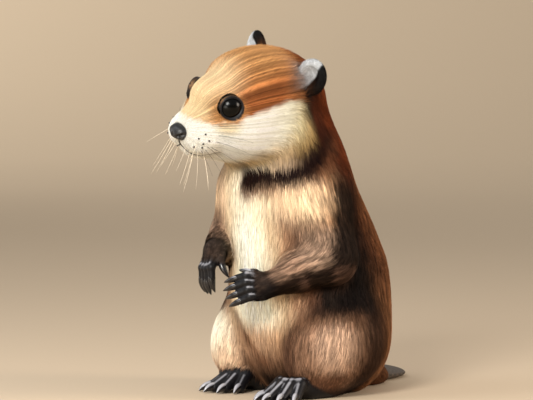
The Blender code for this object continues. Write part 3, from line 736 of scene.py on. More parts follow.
def armColours(p, side, normals):  # by the way along the arm, with painted shade on its outer side and behind and under it
    arm = arms[side]
    fore = partWay(p, arm["elbow"], arm["wrist"])
    high = ramp(p[:, 2], arm["elbow"][2] + 4 * mm, arm["shoulder"][2] + 4 * mm)
    ragged = wander(p, 3 * mm, 5.0) * 0.12
    outer = normals @ unit((0.8 * side, 0.6, 0)) + ragged
    behind = ramp(outer, 0.44 - 0.24 * (1 - high), 0.84 - 0.28 * (1 - high))
    shadedUnder = ramp(normals @ unit((0.6 * side, 0.1, -0.75)) + ragged, 0.12, 0.62) * fall(high, 0.25, 0.7)
    return painted(
        plain(p, "#9A7F6B"),
        ("#8A6E5B", ramp(fore, 0.2, 0.6)),
        ("#9C7E66", ramp(high, 0.25, 0.65)),
        ("#E9C59F", ramp(high, 0.6, 0.95)),
        # painted shade: browner on the outer side, near black behind and under the arm, eased to brown where it
        # faces furthest back and down
        ("#9C7352", ramp(outer, 0.15, 0.55) * ramp(high, 0.4, 0.8) * 0.85),
        ("#150C08", np.maximum(behind, shadedUnder) * 0.97),
        ("#5E463A", ramp(shadedUnder * behind, 0.9, 1.0) * (1 - high) * 0.5),
        ("#151010", ramp(fore, 0.86, 1.0) * 0.85))


def legColours(p, side, ragged):  # a ground for each side, the right thigh pale as painted light and the left one darker as painted shade, then bands by place
    h = mirroredSide(p)
    x, y, z = h.T / mm
    # the two thighs are painted apart: the left one in painted shade, the right one in painted light
    if side == 1:
        c = painted(
            plain(p, "#86654F"),
            ("#54392A", fall(x, 50, 68) * fall(y, -60, -40) * 0.9),
            ("#C4A48C", spot(h, (84, -50, 56), (17, 22, 26), 0.6) * 0.85),
            # painted shade on the top of the left haunch, under the arm
            ("#5A3D2B", ramp(z, 66, 82) * 0.7))
    else:
        c = painted(
            plain(p, "#C79F80"),
            ("#FFF3DA", spot(h, (58, -74, 64), (24, 24, 26), 0.6)),
            ("#EBC8A8", spot(h, (44, -76, 40), (18, 20, 20), 0.7) * 0.7))
    return painted(
        c,
        # painted shadow on the top of the thigh where it meets the flank, under the arm
        ("#080505", ramp(z, 78, 94) * ramp(x, 52, 66) * 0.97),
        ("#2A1A12", ramp(y + ragged * 4 - 0.2 * (z - 40), -36, -8) * 0.9),
        ("#6E4529", ramp(y, 4, 34) * 0.75),
        ("#6C4834", fall(z, 12, 34) * fall(y, -44, -24) * 0.85),
        # painted shadow on the inner side of the thigh, low between the legs
        ("#1C1310", fall(x, 20, 38) * fall(z, 34, 54) * 0.85),
        # darker just above the floor: darker fur round the foot, deepened as painted shade where the leg meets the
        # floor
        ("#1A1311", fall(z, 3, 13) * 0.8))


highlightWay = {0: unit((0.30, -0.35, 0.88))}  # the upper side of feet and hands, which gets a painted highlight
for s in sides:
    highlightWay[s] = unit(handAxes(s)[:, 1] * 0.85 + (0, 0, 0.9))


def bareShare(p, share):  # 1 on naked skin: hands, feet, lids, nose socket and the mouth's edge
    q = headSpace(p)
    bare = fall(ellipsoid(q, nose["at"], nose["radii"]), 0.2 * mm, 1.4 * mm)
    bare = np.maximum(bare, fall(fromPath(mirroredSide(q), mouthPath), 0.9 * mm, 1.7 * mm))
    for side, arm in arms.items():
        past = (p - arm["wrist"]) @ arm["reach"]
        heel, axes = footFrame(side)
        f = (p - heel) @ axes
        onFoot = fall(np.abs(footField(p, side)), 1.5 * mm, 4 * mm)
        e = (q - eyes[side][0]) @ axesAlong(eyes[side][1])
        inRing = fall(np.hypot(e[:, 0], e[:, 1]), 11.9 * mm, 12.7 * mm) * ramp(e[:, 2], 0, 3 * mm)
        toesAndSole = np.maximum(ramp(f[:, 1] - f[:, 2] * 0.5, -2 * mm, 12 * mm), fall(p[:, 2], 0.8 * mm, 2.5 * mm))
        for one in (share["arm", side] * ramp(past, 10 * mm, 16 * mm), inRing, onFoot * toesAndSole):
            bare = np.maximum(bare, one)
    return bare


def markings(p, normals, share):  # linear colours, and how bare the skin is
    ragged = wander(p, 2.2 * mm) * 0.6 + wander(p, 6 * mm, 3.1) * 0.5
    q = headSpace(p)
    h = mirroredSide(q) / mm
    onHead, low = headColours(q, ragged)
    nape = ramp(h[:, 1], 26, 46) * ramp(h[:, 2], -70, -30)
    dark = nape * spot(h * mm, (64, 38, -34), (26, 20, 34), 0.7) * 0.95
    onBody = painted(bodyColours(p, ragged), ("#5E2A11", nape * 0.9), ("#1F0D07", dark))
    cheek = share["neck"] * fall(h[:, 1], 28, 40) * ramp(low, -7, -1) * ramp(h[:, 2], -60, -45)
    c = onHead * (share["head"] + cheek)[:, None] + onBody * (share["trunk"] + share["neck"] - cheek)[:, None]
    for side in sides:
        c += armColours(p, side, normals) * share["arm", side][:, None]
        c += legColours(p, side, ragged) * share["leg", side][:, None]
        e = (q - onSide(ear["at"], side)) @ earAxes(side)
        ahead = (normals @ (headAxes @ earAxes(side)))[:, 1]
        edge = -3.0 * mm if side == 1 else 1.0 * mm  # grey hair in front, black behind
        inner = ramp(e[:, 0] + ragged * 0.8 * mm, edge - 1.5 * mm, edge + 1.5 * mm)
        c += painted(plain(p, "#050505"), ("#CFD3D7", ramp(ahead, -0.1, 0.3) * inner)) * share["ear", side][:, None]
    c += plain(p, "#5A3A26") * share["tail"][:, None]
    near = spot(q, (0, 6, -52), (98, 74, 42), 0.4) * ramp(h[:, 0] + ragged, 26, 38) * (1 - share["head"])
    near = np.clip(near * 1.8, 0, 1)
    deep = 13 + 8 * fall(h[:, 0], 40, 58)
    c = painted(  # the collar: dark fur under the cheek, deepened as painted shade
        c,
        ("#6E432B", near * ramp(-low, 2, 7) * fall(-low, deep, deep + 12) * 0.8),
        # painted highlight on the left shoulder only
        ("#F0CFA9", spot(q, (94, 0, -68), (26, 26, 17), 0.6) * 0.85),
        ("#180A06", near * ramp(-low, -1, 2) * fall(-low, deep - 7, deep + 5)))
    bare = bareShare(p, share)
    # painted highlight: naked skin of hands and feet turns paler grey where it faces up
    paintedHighlight = sum(share["arm", s] * ramp(normals @ highlightWay[s], 0.86, 0.98) for s in sides)
    paintedHighlight = paintedHighlight + (share["leg", 1] + share["leg", -1]) * ramp(normals @ highlightWay[0], 0.93, 0.995)
    naked = painted(plain(p, "#0C0B0F"), ("#8C8C93", paintedHighlight))
    return c + (naked - c) * bare[:, None], bare


# The skin and its material


def skinMaterial():
    # Mammal skin with its underfur, naked and leathery on hands and feet: the markings darkened under the coat, a
    # grain of about 1.1 mm, shallow folds about 1.4 mm apart, and a dull shine where no hair grows.
    made, tree, shader, place, grain = grained("beaverSkin", 900, 3, Specular_IOR_Level=0.28, IOR=1.45)
    base = ownColour(tree, grain, 0.75, 1.2)
    bare = addNode(tree, "Attribute", dict(attribute_name="bare")).outputs["Fac"]
    folds = addNode(tree, "TexVoronoi", dict(Scale=700, feature="DISTANCE_TO_EDGE"), dict(Vector=place))
    rough = addNode(tree, "MapRange", {"To Min": 0.85, "To Max": 0.48}, dict(Value=bare))
    height = addNode(tree, "Math", dict(operation="ADD"), {0: grain, 1: folds})
    bump = addNode(tree, "Bump", dict(Strength=0.25, Distance=0.0003), dict(Height=height))
    addNode(tree, shader, None, {"Base Color": base, "Roughness": rough, "Normal": bump})
    return made


skinShare = sharesOf(skinPoints)
skinColours, skinBare = markings(skinPoints, skinNormals, skinShare)
pairs = ("upper_arm", "forearm", "hand", "thigh", "foot", "ear")
flesh = ["head", "neck", "trunk", "tail_root"] + [f"{part}_{label}" for part in pairs for label in sides.values()]
underCoat = skinColours * (0.55 + 0.45 * skinBare[:, None])  # darker where hair grows
newPiece("skin", skinPoints, skinFaces, skinMaterial(), "black_skin", flesh, coatColour=underCoat, bare=skinBare)
print("skin finished")

# The coat: closed blades that lie along the flow, the long ones over the body and the short ones on face and limbs

coat = dict(
    bodyTufts=146000, shortTufts=146000, sink=0.5 * mm, lift=(0.5, 1.0),
    width=0.62 * mm, shortWidth=0.42 * mm, patch=0.0015, ruffle=0.06, fewest=40,
    streaks=dict(face=0.75, cheek=0.55, crown=1.0, chest=0.5, belly=0.55, back=1.0, rump=1.0, arm=1.1, haunch=0.85,
                 ear=0.8),
)
hairSource = points(0, -101, -17)  # the coat of the head runs away from here


def coatMaterial():
    # Guard hair, nearly without gloss: each tuft carries its own colour, with a slight change of lightness every
    # millimetre or so.
    made, tree, shader, _, grain = grained("guardHair", 800, 2, Roughness=0.60, IOR=1.5, Specular_IOR_Level=0.06)
    addNode(tree, shader, None, {"Base Color": ownColour(tree, grain, 0.85, 1.15)})
    return made


def flow(p, share):  # the way the coat lies, before it is laid on the skin: one rule for each part, mixed by share
    q = headSpace(p)
    way = unit(q - hairSource)
    way[:, 2] -= 0.35 * ramp(q[:, 1], 15 * mm, 60 * mm)
    way = unit(way)
    for s in sides:  # it parts round each eye
        fromEye = q - eyes[s][0]
        far = np.linalg.norm(fromEye, axis=1, keepdims=True)
        way = way + fromEye / far * 1.3 * np.exp(-np.maximum(far - 12 * mm, 0) / (3.5 * mm))
    total = share["head"][:, None] * (unit(way) @ headAxes.T)
    down = np.zeros_like(p) + (0, 0, -1.0)
    down[:, 1] += 0.35 * ramp(p[:, 1], -10 * mm, 60 * mm) * fall(p[:, 2], 40 * mm, 140 * mm)
    down[:, 1] += 0.25 * ramp(p[:, 1], -60 * mm, -20 * mm) * ramp(p[:, 2], 190 * mm, 230 * mm)
    total += (share["trunk"] + share["neck"])[:, None] * unit(down)
    for s, arm in arms.items():
        turned = ramp((p - arm["elbow"]) @ arm["bend"], -30 * mm, 22 * mm)[:, None]
        total += share["arm", s][:, None] * unit(arm["upper"] * (1 - turned) + arm["lower"] * turned)
        leg = np.zeros_like(p) + (0.10 * s, -0.42, -1.0)
        leg[:, 1] += 0.75 * ramp(p[:, 1], -60 * mm, 0)
        total += share["leg", s][:, None] * unit(leg)
        total += share["ear", s][:, None] * ((earAxes(s)[:, 2] + np.array((0.25 * s, 0.2, 0))) @ headAxes.T)
    total += share["tail"][:, None] * unit(tailLine(0.12) - tailLine(0.0))
    turn = np.stack([wander(p, 9 * mm, k * 5.7) for k in range(3)], axis=1)
    return unit(total) + turn * 0.05


def hairLength(p, share):  # length of the hair and how far its tip stands off the skin
    q = headSpace(p)
    back = ramp(q[:, 1], -80 * mm, 10 * mm)
    trunk = share["trunk"] + share["neck"]
    length = share["head"] * (2.6 + 6.6 * back + 4 * ramp(q[:, 1], 20 * mm, 55 * mm)) + trunk * 19
    height = share["head"] * (0.9 + 3.1 * back) + trunk * 5.2
    high = ramp(p[:, 2], 14 * mm, 50 * mm)
    for s, arm in arms.items():
        t = partWay(p, arm["elbow"], arm["wrist"])
        own = {"arm": (13 - 7.5 * t, 4.5 - 3.6 * t), "leg": (3 + 12 * high, 0.6 + 3.8 * high), "ear": (3.4, 0.75)}
        for part, (long, tall) in own.items():
            length += share[part, s] * long
            height += share[part, s] * tall
    length += share["tail"] * 9
    height += share["tail"] * 2.6
    near = ramp(fromPath(mirroredSide(q), mouthPath), 1 * mm, 5 * mm)
    for centre, _ in eyes.values():
        near = near * ramp(norm(q - centre), 13 * mm, 21 * mm)
    return length * (0.32 + 0.68 * near) * mm, height * (0.4 + 0.6 * near) * mm


def scatter(p, normals, faces, weights, number):  # roots spread over the faces by area times weight
    a, b, c = p[faces[:, 0]], p[faces[:, 1]], p[faces[:, 2]]
    area = norm(np.cross(b - a, c - a)) * weights[faces].mean(axis=1)
    total = np.cumsum(area)
    pick = np.searchsorted(total, (np.arange(number) + rng.random(number)) / number * total[-1])
    corners = faces[np.minimum(pick, len(faces) - 1)].T
    u, v = rng.random(number), rng.random(number)
    over = u + v > 1
    u[over], v[over] = 1 - u[over], 1 - v[over]
    shares = np.stack([1 - u - v, u, v])[..., None]
    return (p[corners] * shares).sum(axis=0), unit((normals[corners] * shares).sum(axis=0))


def onSkin(p, height):  # moved along the field's slope to a set height over the skin, by 9 mm at most
    value, slope = withSlope(skinField, p, 0.3 * mm)
    move = (height - value)[:, None] * slope / np.maximum((slope * slope).sum(axis=1, keepdims=True), 0.2)
    far = np.linalg.norm(move, axis=1, keepdims=True)
    return p + move * np.minimum(1, 9 * mm / np.maximum(far, 1e-9)), unit(slope)


def tangent(way, normals):  # the part of a direction that lies along the skin
    return unit(way - (way * normals).sum(axis=1, keepdims=True) * normals)


def lines(p, shift=0.0, size=2.6 * mm, strength=0.55):  # fine and coarse noise together
    return wander(p, 1.2 * mm, shift) * 0.85 + wander(p, size, 4.0) * strength


def streaks(p, share):  # light and dark lines that run with the lie of the coat, from -1 to 1
    q = headSpace(p)
    ring = unit((q - hairSource) * (1, 0, 1)) + q * (0, 0.16, 0)  # nearly the same all along a hair of the head
    total = share["head"] * (wander(ring, 0.019) * 0.8 + wander(ring, 0.045, 4.0) * 0.4)
    tall = p * (1, 1, 0.07)
    total += (share["trunk"] + share["neck"] + share["tail"]) * lines(tall)
    for s, arm in arms.items():
        r = p - arm["elbow"]
        for way, past in ((arm["upper"], -1), (arm["lower"], 1)):
            across = r - (r @ way)[:, None] * way * 0.93
            own = ramp((r @ arm["bend"]) * past, -20 * mm, 20 * mm)
            total += share["arm", s] * own * lines(across, 3.0 if past > 0 else 0.0, 2.4 * mm)
        total += (share["leg", s] + share["ear", s]) * lines(tall, 9.0, strength=0.5)
    return total


def makeTufts(roots, normals, long):  # centre line of each tuft: it leaves the root low and lies along the flow
    share, number = sharesOf(roots), len(roots)
    length, height = hairLength(roots, share)
    length = length * (0.75 + 0.5 * rng.random(number))
    low, high = coat["lift"]
    height = height * (low + (high - low) * rng.random(number) ** 0.7)
    way = tangent(flow(roots, share) + rng.normal(0, 0.04, (number, 3)), normals)
    if long:
        middle, slope = onSkin(roots + way * length[:, None] * 0.45, height * 0.8)
        onward = tangent(flow(middle, sharesOf(middle)) + rng.normal(0, 0.04, (number, 3)), slope)
        pull = np.stack([wander(middle, 7 * mm, 11.0 + 3 * k) for k in range(3)], axis=1)
        onward = tangent(onward + pull * 0.06, slope)
        tip, _ = onSkin(middle + onward * length[:, None] * 0.55, height)
    else:
        middle = None
        tip, tipNormals = onSkin(roots + way * length[:, None], height)
        slope = unit(normals + tipNormals)
    tip[:, 2] = np.maximum(tip[:, 2], 0.3 * mm)
    shown = middle if long else roots + (tip - roots) * 0.6  # the part of a tuft that isn't covered by the next
    share = sharesOf(shown)
    colours, _ = markings(shown, normals, share)
    line = streaks(shown, share) + rng.normal(0, 0.08, number)
    slope = unit(slope + rng.normal(0, coat["ruffle"], (number, 3)))
    return dict(root=roots - normals * coat["sink"], normal=normals, way=way, middle=middle, tip=tip, slope=slope,
                colour=colours, line=line)


def tuftMesh(t, width, strength):
    # A long tuft runs from a point at the root over a triangle at its bend to a point at the tip, a short one from
    # a triangle at the root to the tip. Each is a closed blade, a third as thick as it is wide.
    number, long = len(t["root"]), t["middle"] is not None
    side = unit(np.cross(t["way"], t["normal"]))
    w = width * (0.7 + 0.6 * rng.random(number))[:, None]
    belt = t["middle"] if long else t["root"]
    rows = [belt - side * w / 2, belt + side * w / 2, belt + t["normal"] * w * 0.33, t["tip"]]
    if long:
        rows.append(t["root"])
        pattern = [(1, 0, 3), (2, 1, 3), (0, 2, 3), (0, 1, 4), (1, 2, 4), (2, 0, 4)]
        along, shade = np.array((0, 0, 0.1, 1, -1)), np.array((0.97, 0.97, 1, 1.1, 0.5))
    else:
        pattern = [(0, 1, 2), (1, 0, 3), (2, 1, 3), (0, 2, 3)]
        along, shade = np.array((-1, -1, -0.8, 1)), np.array((0.75, 0.75, 0.8, 1.1))
    k = len(rows)
    across, tilt = np.array(((-1, 1, 0.1, 0, 0), (-0.45, 0.45, 0, 0, 0)))[:, :k]
    corners = np.stack(rows, axis=1)
    corners[..., 2] = np.maximum(corners[..., 2], 0.2 * mm)
    faces = (np.array(pattern)[None] + (np.arange(number) * k)[:, None, None]).reshape(-1, 3)
    faint = 1 - 0.6 * ramp(t["colour"].mean(axis=1), 0.40, 0.75)  # pale fur shows its lines less
    light = np.exp(np.clip(t["line"] - 0.08, -1.5, 0.6) * strength * faint)
    colours = np.clip(t["colour"][:, None] * light[:, None, None] * shade[None, :, None], 0.002, 0.95)
    slopes = unit(t["slope"][:, None] + side[:, None] * tilt[None, :, None])
    patch = np.stack([across, along], axis=1) * coat["patch"]
    return corners.reshape(-1, 3), faces, colours.reshape(-1, 3), slopes.reshape(-1, 3), patch


def addCoat(name, t, place, width, strength, slot, material):  # each tuft takes one small patch of the map
    corners, faces, colours, slopes, patch = tuftMesh(t, width, strength)
    piece = newPiece(name, corners, faces, material, slot, coatColour=colours)
    piece.data.normals_split_custom_set_from_vertices(slopes)
    uv = (place[:, None] + patch[None]).reshape(-1, 2)
    layer = piece.data.uv_layers.new(name="OFBake")
    layer.data.foreach_set("uv", uv[faces.ravel()].astype(np.float32).ravel())
    print(f"{name}: {len(t['root'])} tufts, {len(faces)} triangles")


def unwrap(p, centre, axes, low=None, high=None):
    # Angle round an axis, and height along it or the angle up from its middle, from 0.02 to 0.98
    q = (p - centre) @ axes
    u = (np.arctan2(q[:, 0], q[:, 1]) / (2 * math.pi) + 0.5) * 0.96 + 0.02
    flat = np.hypot(q[:, 0], q[:, 1])
    v = (np.arctan2(q[:, 2], flat) / math.pi + 0.5) if low is None else np.clip((q[:, 2] - low) / (high - low), 0, 1)
    return np.stack([u, v * 0.96 + 0.02], axis=1)


furred = np.clip(1 - skinBare * 1.3, 0, 1) * ramp(skinPoints[:, 2], 1.0 * mm, 3.0 * mm)
shortShare = skinShare["head"] + sum(skinShare["ear", s] for s in sides) * 1.3
for s, arm in arms.items():
    wristward = ramp(partWay(skinPoints, arm["elbow"], arm["wrist"]), 0.35, 0.6)
    shortShare = shortShare + skinShare["arm", s] * wristward
    shortShare = shortShare + skinShare["leg", s] * fall(skinPoints[:, 2], 24 * mm, 42 * mm)
shortShare = np.clip(shortShare, 0, 1.3)
faceShare = 1 + 1.2 * skinShare["head"] * fall(headSpace(skinPoints)[:, 1], -60 * mm, 0)  # the face has more tufts

hair = coatMaterial()
for long in (True, False):
    weights = furred * (np.clip(1 - shortShare, 0, 1) if long else shortShare * faceShare)
    number, width = (coat["bodyTufts"], coat["width"]) if long else (coat["shortTufts"], coat["shortWidth"])
    roots, normals = scatter(skinPoints, skinNormals, skinFaces, weights, number)
    tufts = makeTufts(roots, normals, long)
    print("tufts laid:", number)
    parts = partFields(roots)
    owner = np.argmin(np.stack(list(parts.values())), axis=0)
    own = {name: owner == k for k, name in enumerate(parts)}
    q = headSpace(roots)
    torso = own["trunk"] | own["neck"] | own["tail"]
    front = torso & (roots[:, 1] < np.interp(roots[:, 2], *middleLine))
    rear, upper = torso & ~front, roots[:, 2] > 135 * mm
    ahead, low = q[:, 1] < -28 * mm, q[:, 2] < 12 * mm
    trunkFrame = np.array((0, -20 * mm, 0)), np.eye(3), 0, 0.33
    for s, label in sides.items():
        arm, half = arms[s], (roots[:, 0] > 0) == (s > 0)
        head = own["head"] & ((q[:, 0] > 0) == (s > 0))
        faceFrame = headAt + points(0, 10, -10), headAxes[:, [0, 2, 1]], -0.11, 0.0
        armFrame = arm["elbow"], axesAlong(unit(arm["wrist"] - arm["shoulder"])), -0.09, 0.09
        earFrame = fromHead(onSide(ear["at"], s)), headAxes @ earAxes(s)
        for region, mask, frameOf, slot in (
            ("chest", front & upper & half, trunkFrame, "coat_tan"),
            ("belly", front & ~upper & half, trunkFrame, "coat_tan"),
            ("back", rear & upper & half, trunkFrame, "coat_dark"),
            ("rump", rear & ~upper & half, trunkFrame, "coat_dark"),
            ("face", head & ahead, faceFrame, "coat_tan"),
            ("cheek", head & ~ahead & low, (headAt, headAxes), "coat_tan"),
            ("crown", head & ~ahead & ~low, (headAt, headAxes), "coat_tan"),
            ("arm", own["arm", s], armFrame, "coat_dark"),
            ("haunch", own["leg", s], (onSide(points(50, -25, 50), s), np.eye(3)), "coat_tan"),
            ("ear", own["ear", s], earFrame, "coat_dark"),
        ):
            if mask.sum() >= coat["fewest"]:  # fewer tufts don't make a piece
                name = f"coat_{region}_{label}" + ("" if long else "_short")
                some = {key: value if value is None else value[mask] for key, value in tufts.items()}
                addCoat(name, some, unwrap(roots[mask], *frameOf), width, coat["streaks"][region], slot, hair)

# Closed shapes from grids of points


def gridFaces(rows, columns):  # quads of a grid that closes round its columns
    r, c = np.meshgrid(np.arange(rows - 1), np.arange(columns), indexing="ij")
    a, b = r * columns + c, r * columns + (c + 1) % columns
    return np.stack([a + columns, b + columns, b, a], axis=-1).reshape(-1, 4)


def closed(corners, ends):  # points and triangles of a grid, with a fan over its first and its last ring
    rows, columns = corners.shape[:2]
    flat, quads, c = corners.reshape(-1, 3), gridFaces(rows, columns), np.arange(columns)
    onward, last = (c + 1) % columns, (rows - 1) * columns
    start = np.stack([np.full(columns, len(flat)), c, onward], axis=1)
    end = np.stack([np.full(columns, len(flat) + 1), last + onward, last + c], axis=1)
    triangles = [quads[:, [0, 1, 2]], quads[:, [0, 2, 3]], start, end]
    return np.concatenate([flat, np.array(ends)]), np.concatenate(triangles)


def merged(parts):  # several closed shapes in one
    starts = np.cumsum([0] + [len(part[0]) for part in parts])
    faces = [part[1] + start for part, start in zip(parts, starts)]
    return np.concatenate([part[0] for part in parts]), np.concatenate(faces)


def sphere(rings, across, gap):  # (sin a cos b, sin a sin b, cos a), and the angles a from the first pole
    a = np.linspace(gap, math.pi - gap, rings)[:, None]
    b = np.linspace(0, 2 * math.pi, across, endpoint=False)[None]
    return np.stack([np.sin(a) * np.cos(b), np.sin(a) * np.sin(b), np.cos(a) * np.ones_like(b)], axis=-1), a


def ringAround(first, second, number):  # cos a times the first axis plus sin a times the second, at each row
    a = np.linspace(0, 2 * math.pi, number, endpoint=False)[None, :, None]
    return np.cos(a) * first[:, None] + np.sin(a) * second[:, None]


poles = np.array(((0, 0, 1.0), (0, 0, -1.0)))

# Eyes

globe = dict(across=64, rings=40, bulge=0.02)


def eyeMaterial():
    # Wet cornea over a very dark iris: near black, a trace warmer round the sides of the ball, and a smooth shine.
    made, tree, shader = newMaterial("eyeCornea", Roughness=0.2, IOR=1.38, Specular_IOR_Level=0.26)
    turn = addNode(tree, "Attribute", dict(attribute_name="turn")).outputs["Fac"]
    stops = (0.30, "#020202"), (0.62, "#040303"), (0.80, "#030303")
    addNode(tree, shader, None, {"Base Color": addNode(tree, "ValToRGB", dict(stops=stops), dict(Fac=turn))})
    return made


def makeEye(side, label, material):
    # A ball with a shallow bulge in front: r = R (1 + 0.02 e^-(a / 0.8)^2), a the angle from the line of sight
    centre, facing = eyes[side]
    ball, a = sphere(globe["rings"], globe["across"], 0.04)
    ball = ball * (eye["radius"] * (1 + globe["bulge"] * gauss(a / 0.8)))[..., None]
    corners, faces = closed(ball, poles * eye["radius"] * ((1 + globe["bulge"],), (1,)))
    turn = np.concatenate([np.repeat(a.ravel() / math.pi, globe["across"]), [0, 1]])
    corners = fromHead(centre + corners @ axesAlong(facing).T)
    newPiece(f"eyeball_{label}", corners, faces, material, "eye_gloss", [f"eye_{label}"], turn=turn)


cornea = eyeMaterial()
for side, label in sides.items():
    makeEye(side, label, cornea)
print("eyes finished")

# Nose

pad = dict(rings=70, across=110, groove=0.9, rim=0.5)


def noseMaterial():
    # Naked nose leather: black with greyer patches, pebbled at about 0.8 mm, with a faint damp shine.
    made, tree, shader, place, patches = grained("noseLeather", 160, 3, Roughness=0.42, IOR=1.42, Coat_Weight=0.1,
                                                 Coat_Roughness=0.3)
    pebbles = addNode(tree, "TexVoronoi", dict(Scale=1300), dict(Vector=place))
    tone = addNode(tree, "ValToRGB", dict(stops=((0.35, "#0E0E10"), (0.75, "#26272B"))), dict(Fac=patches))
    bump = addNode(tree, "Bump", dict(Strength=0.35, Distance=0.0002, invert=True), dict(Height=pebbles))
    addNode(tree, shader, None, {"Base Color": tone, "Normal": bump})
    return made


def makeNose():
    # An ellipsoid pushed in by (2.6 - 1.2 t) mm e^-(gap / 0.2)^2 at each nostril, t the way along it and gap the
    # distance from it, with a raised rim round it, and by a shallow groove in the middle
    u, _ = sphere(pad["rings"], pad["across"], 0.03)
    dent = 0
    for side in sides:
        start, end = unit((0.60 * side, -0.72, -0.30)), unit((0.95 * side, -0.28, 0.02))
        t, gap = partWay(u, start, end), limb(u, start, end)
        dent = dent + (2.6 - 1.2 * t) * gauss(gap / 0.20) - pad["rim"] * gauss((gap - 0.34) / 0.14)
    dent += pad["groove"] * gauss(u[..., 0] / 0.09) * ramp(-u[..., 1], 0.2, 0.8) * fall(u[..., 2], -0.3, 0.35)
    shape = u * nose["radii"] * (1 + 0.05 * u[..., 2:] * np.abs(u[..., :1]))
    corners, faces = closed(shape - unit(shape) * dent[..., None] * mm, poles * nose["radii"][2])
    newPiece("nose", fromHead(nose["at"] + corners), faces, noseMaterial(), "black_skin", ["nose_pad"])


makeNose()
print("nose finished")

# Claws

claws = dict(sides=14, rings=22, inside=1.0 * mm)


def clawMaterial():
    # Horn: near black with a faint grain, a painted highlight of light grey on its upper side, fairly smooth.
    made, tree, shader, _, grain = grained("clawHorn", 1200, 3, Roughness=0.27, IOR=1.54, Specular_IOR_Level=0.5)
    tone = rampColour(tree, "clawWear", grain, 0.25, (0.15, "#0E0D11"), (1.0, "#A6A6AD"))
    bump = addNode(tree, "Bump", dict(Strength=0.2, Distance=0.0002), dict(Height=grain))
    addNode(tree, shader, None, {"Base Color": tone, "Normal": bump})
    return made


def claw(start, end, radius, arch, highlightSide):
    # Path start + (end - start) t + 4 arch t (1 - t), with oval sections of radius r (1 - 0.86 t^2.6), keeled below
    t = np.linspace(0, 1, claws["rings"])[:, None]
    path = start + (end - start) * t + arch * 4 * t * (1 - t)
    along = unit(np.gradient(path, axis=0))
    side = unit(np.cross(along, unit(arch)))
    up = np.cross(side, along)
    a = np.linspace(0, 2 * math.pi, claws["sides"], endpoint=False)
    keel = 1 + 0.06 * np.maximum(-np.sin(a), 0) ** 3
    ring = np.cos(a)[None, :, None] * side[:, None] * 0.85 + (np.sin(a) * keel)[None, :, None] * up[:, None]
    ends = [path[0] - along[0] * radius * 0.3, path[-1] + along[-1] * radius * 0.12]
    corners, faces = closed(path[:, None] + ring * (radius * (1 - 0.86 * t**2.6))[:, None], ends)
    # painted highlight: light grey where the claw's surface faces the highlight way
    return corners, faces, np.concatenate([ramp(unit(ring) @ highlightSide, 0.76, 0.98).ravel(), [0, 0.3]])


horn = clawMaterial()
for side, label in sides.items():
    back = handAxes(side)[:, 1]
    made = dict(hand=[], foot=[])
    for _, bend, tip in fingers(side):
        along = unit(tip - bend)
        start, end = tip - along * claws["inside"], tip + along * (hand["claw"] - 2 * mm) - back * 3 * mm
        made["hand"].append(claw(start, end, hand["radius"] * 0.90, back * 1.4 * mm, highlightWay[side]))
    for root, _, tip in toes(side):
        ahead = unit((tip - root) * (1, 1, 0))
        start = tip - ahead * claws["inside"] + points(0, 0, 0.6)
        end = tip + ahead * (foot["claw"] - 2 * mm) + np.array((0, 0, 1.1 * mm - tip[2]))
        made["foot"].append(claw(start, end, foot["radius"] * 0.70, points(0, 0, 1.8), highlightWay[0]))
    for limbEnd, parts in made.items():
        corners, faces = merged(parts)
        corners[:, 2] = np.maximum(corners[:, 2], 0.0)
        nodes = [f"claw_{limbEnd}_{label}_{k}" for k in range(1, 6)]
        highlightShare = np.concatenate([part[2] for part in parts])
        newPiece(f"claws_{limbEnd}_{label}", corners, faces, horn, "claw_horn", nodes, clawWear=highlightShare)
print("claws finished")

# Tail

paddle = dict(rows=38, platesAcross=12, steps=6, relief=0.6 * mm)


def tailMaterial():
    # Scaly naked tail: leathery plates, grey brown on their tops, dark in the grooves between them.
    made, tree, shader, place, grain = grained("tailScale", 300, 4, Roughness=0.52, IOR=1.48)
    tone = rampColour(tree, "scaleTop", grain, 0.6, (0.30, "#0D0A08"), (0.8125, "#4E433A"))
    fine = addNode(tree, "TexNoise", dict(Scale=1500, Detail=2), dict(Vector=place))
    bump = addNode(tree, "Bump", dict(Strength=0.3, Distance=0.0002), dict(Height=fine))
    addNode(tree, shader, None, {"Base Color": tone, "Normal": bump})
    return made


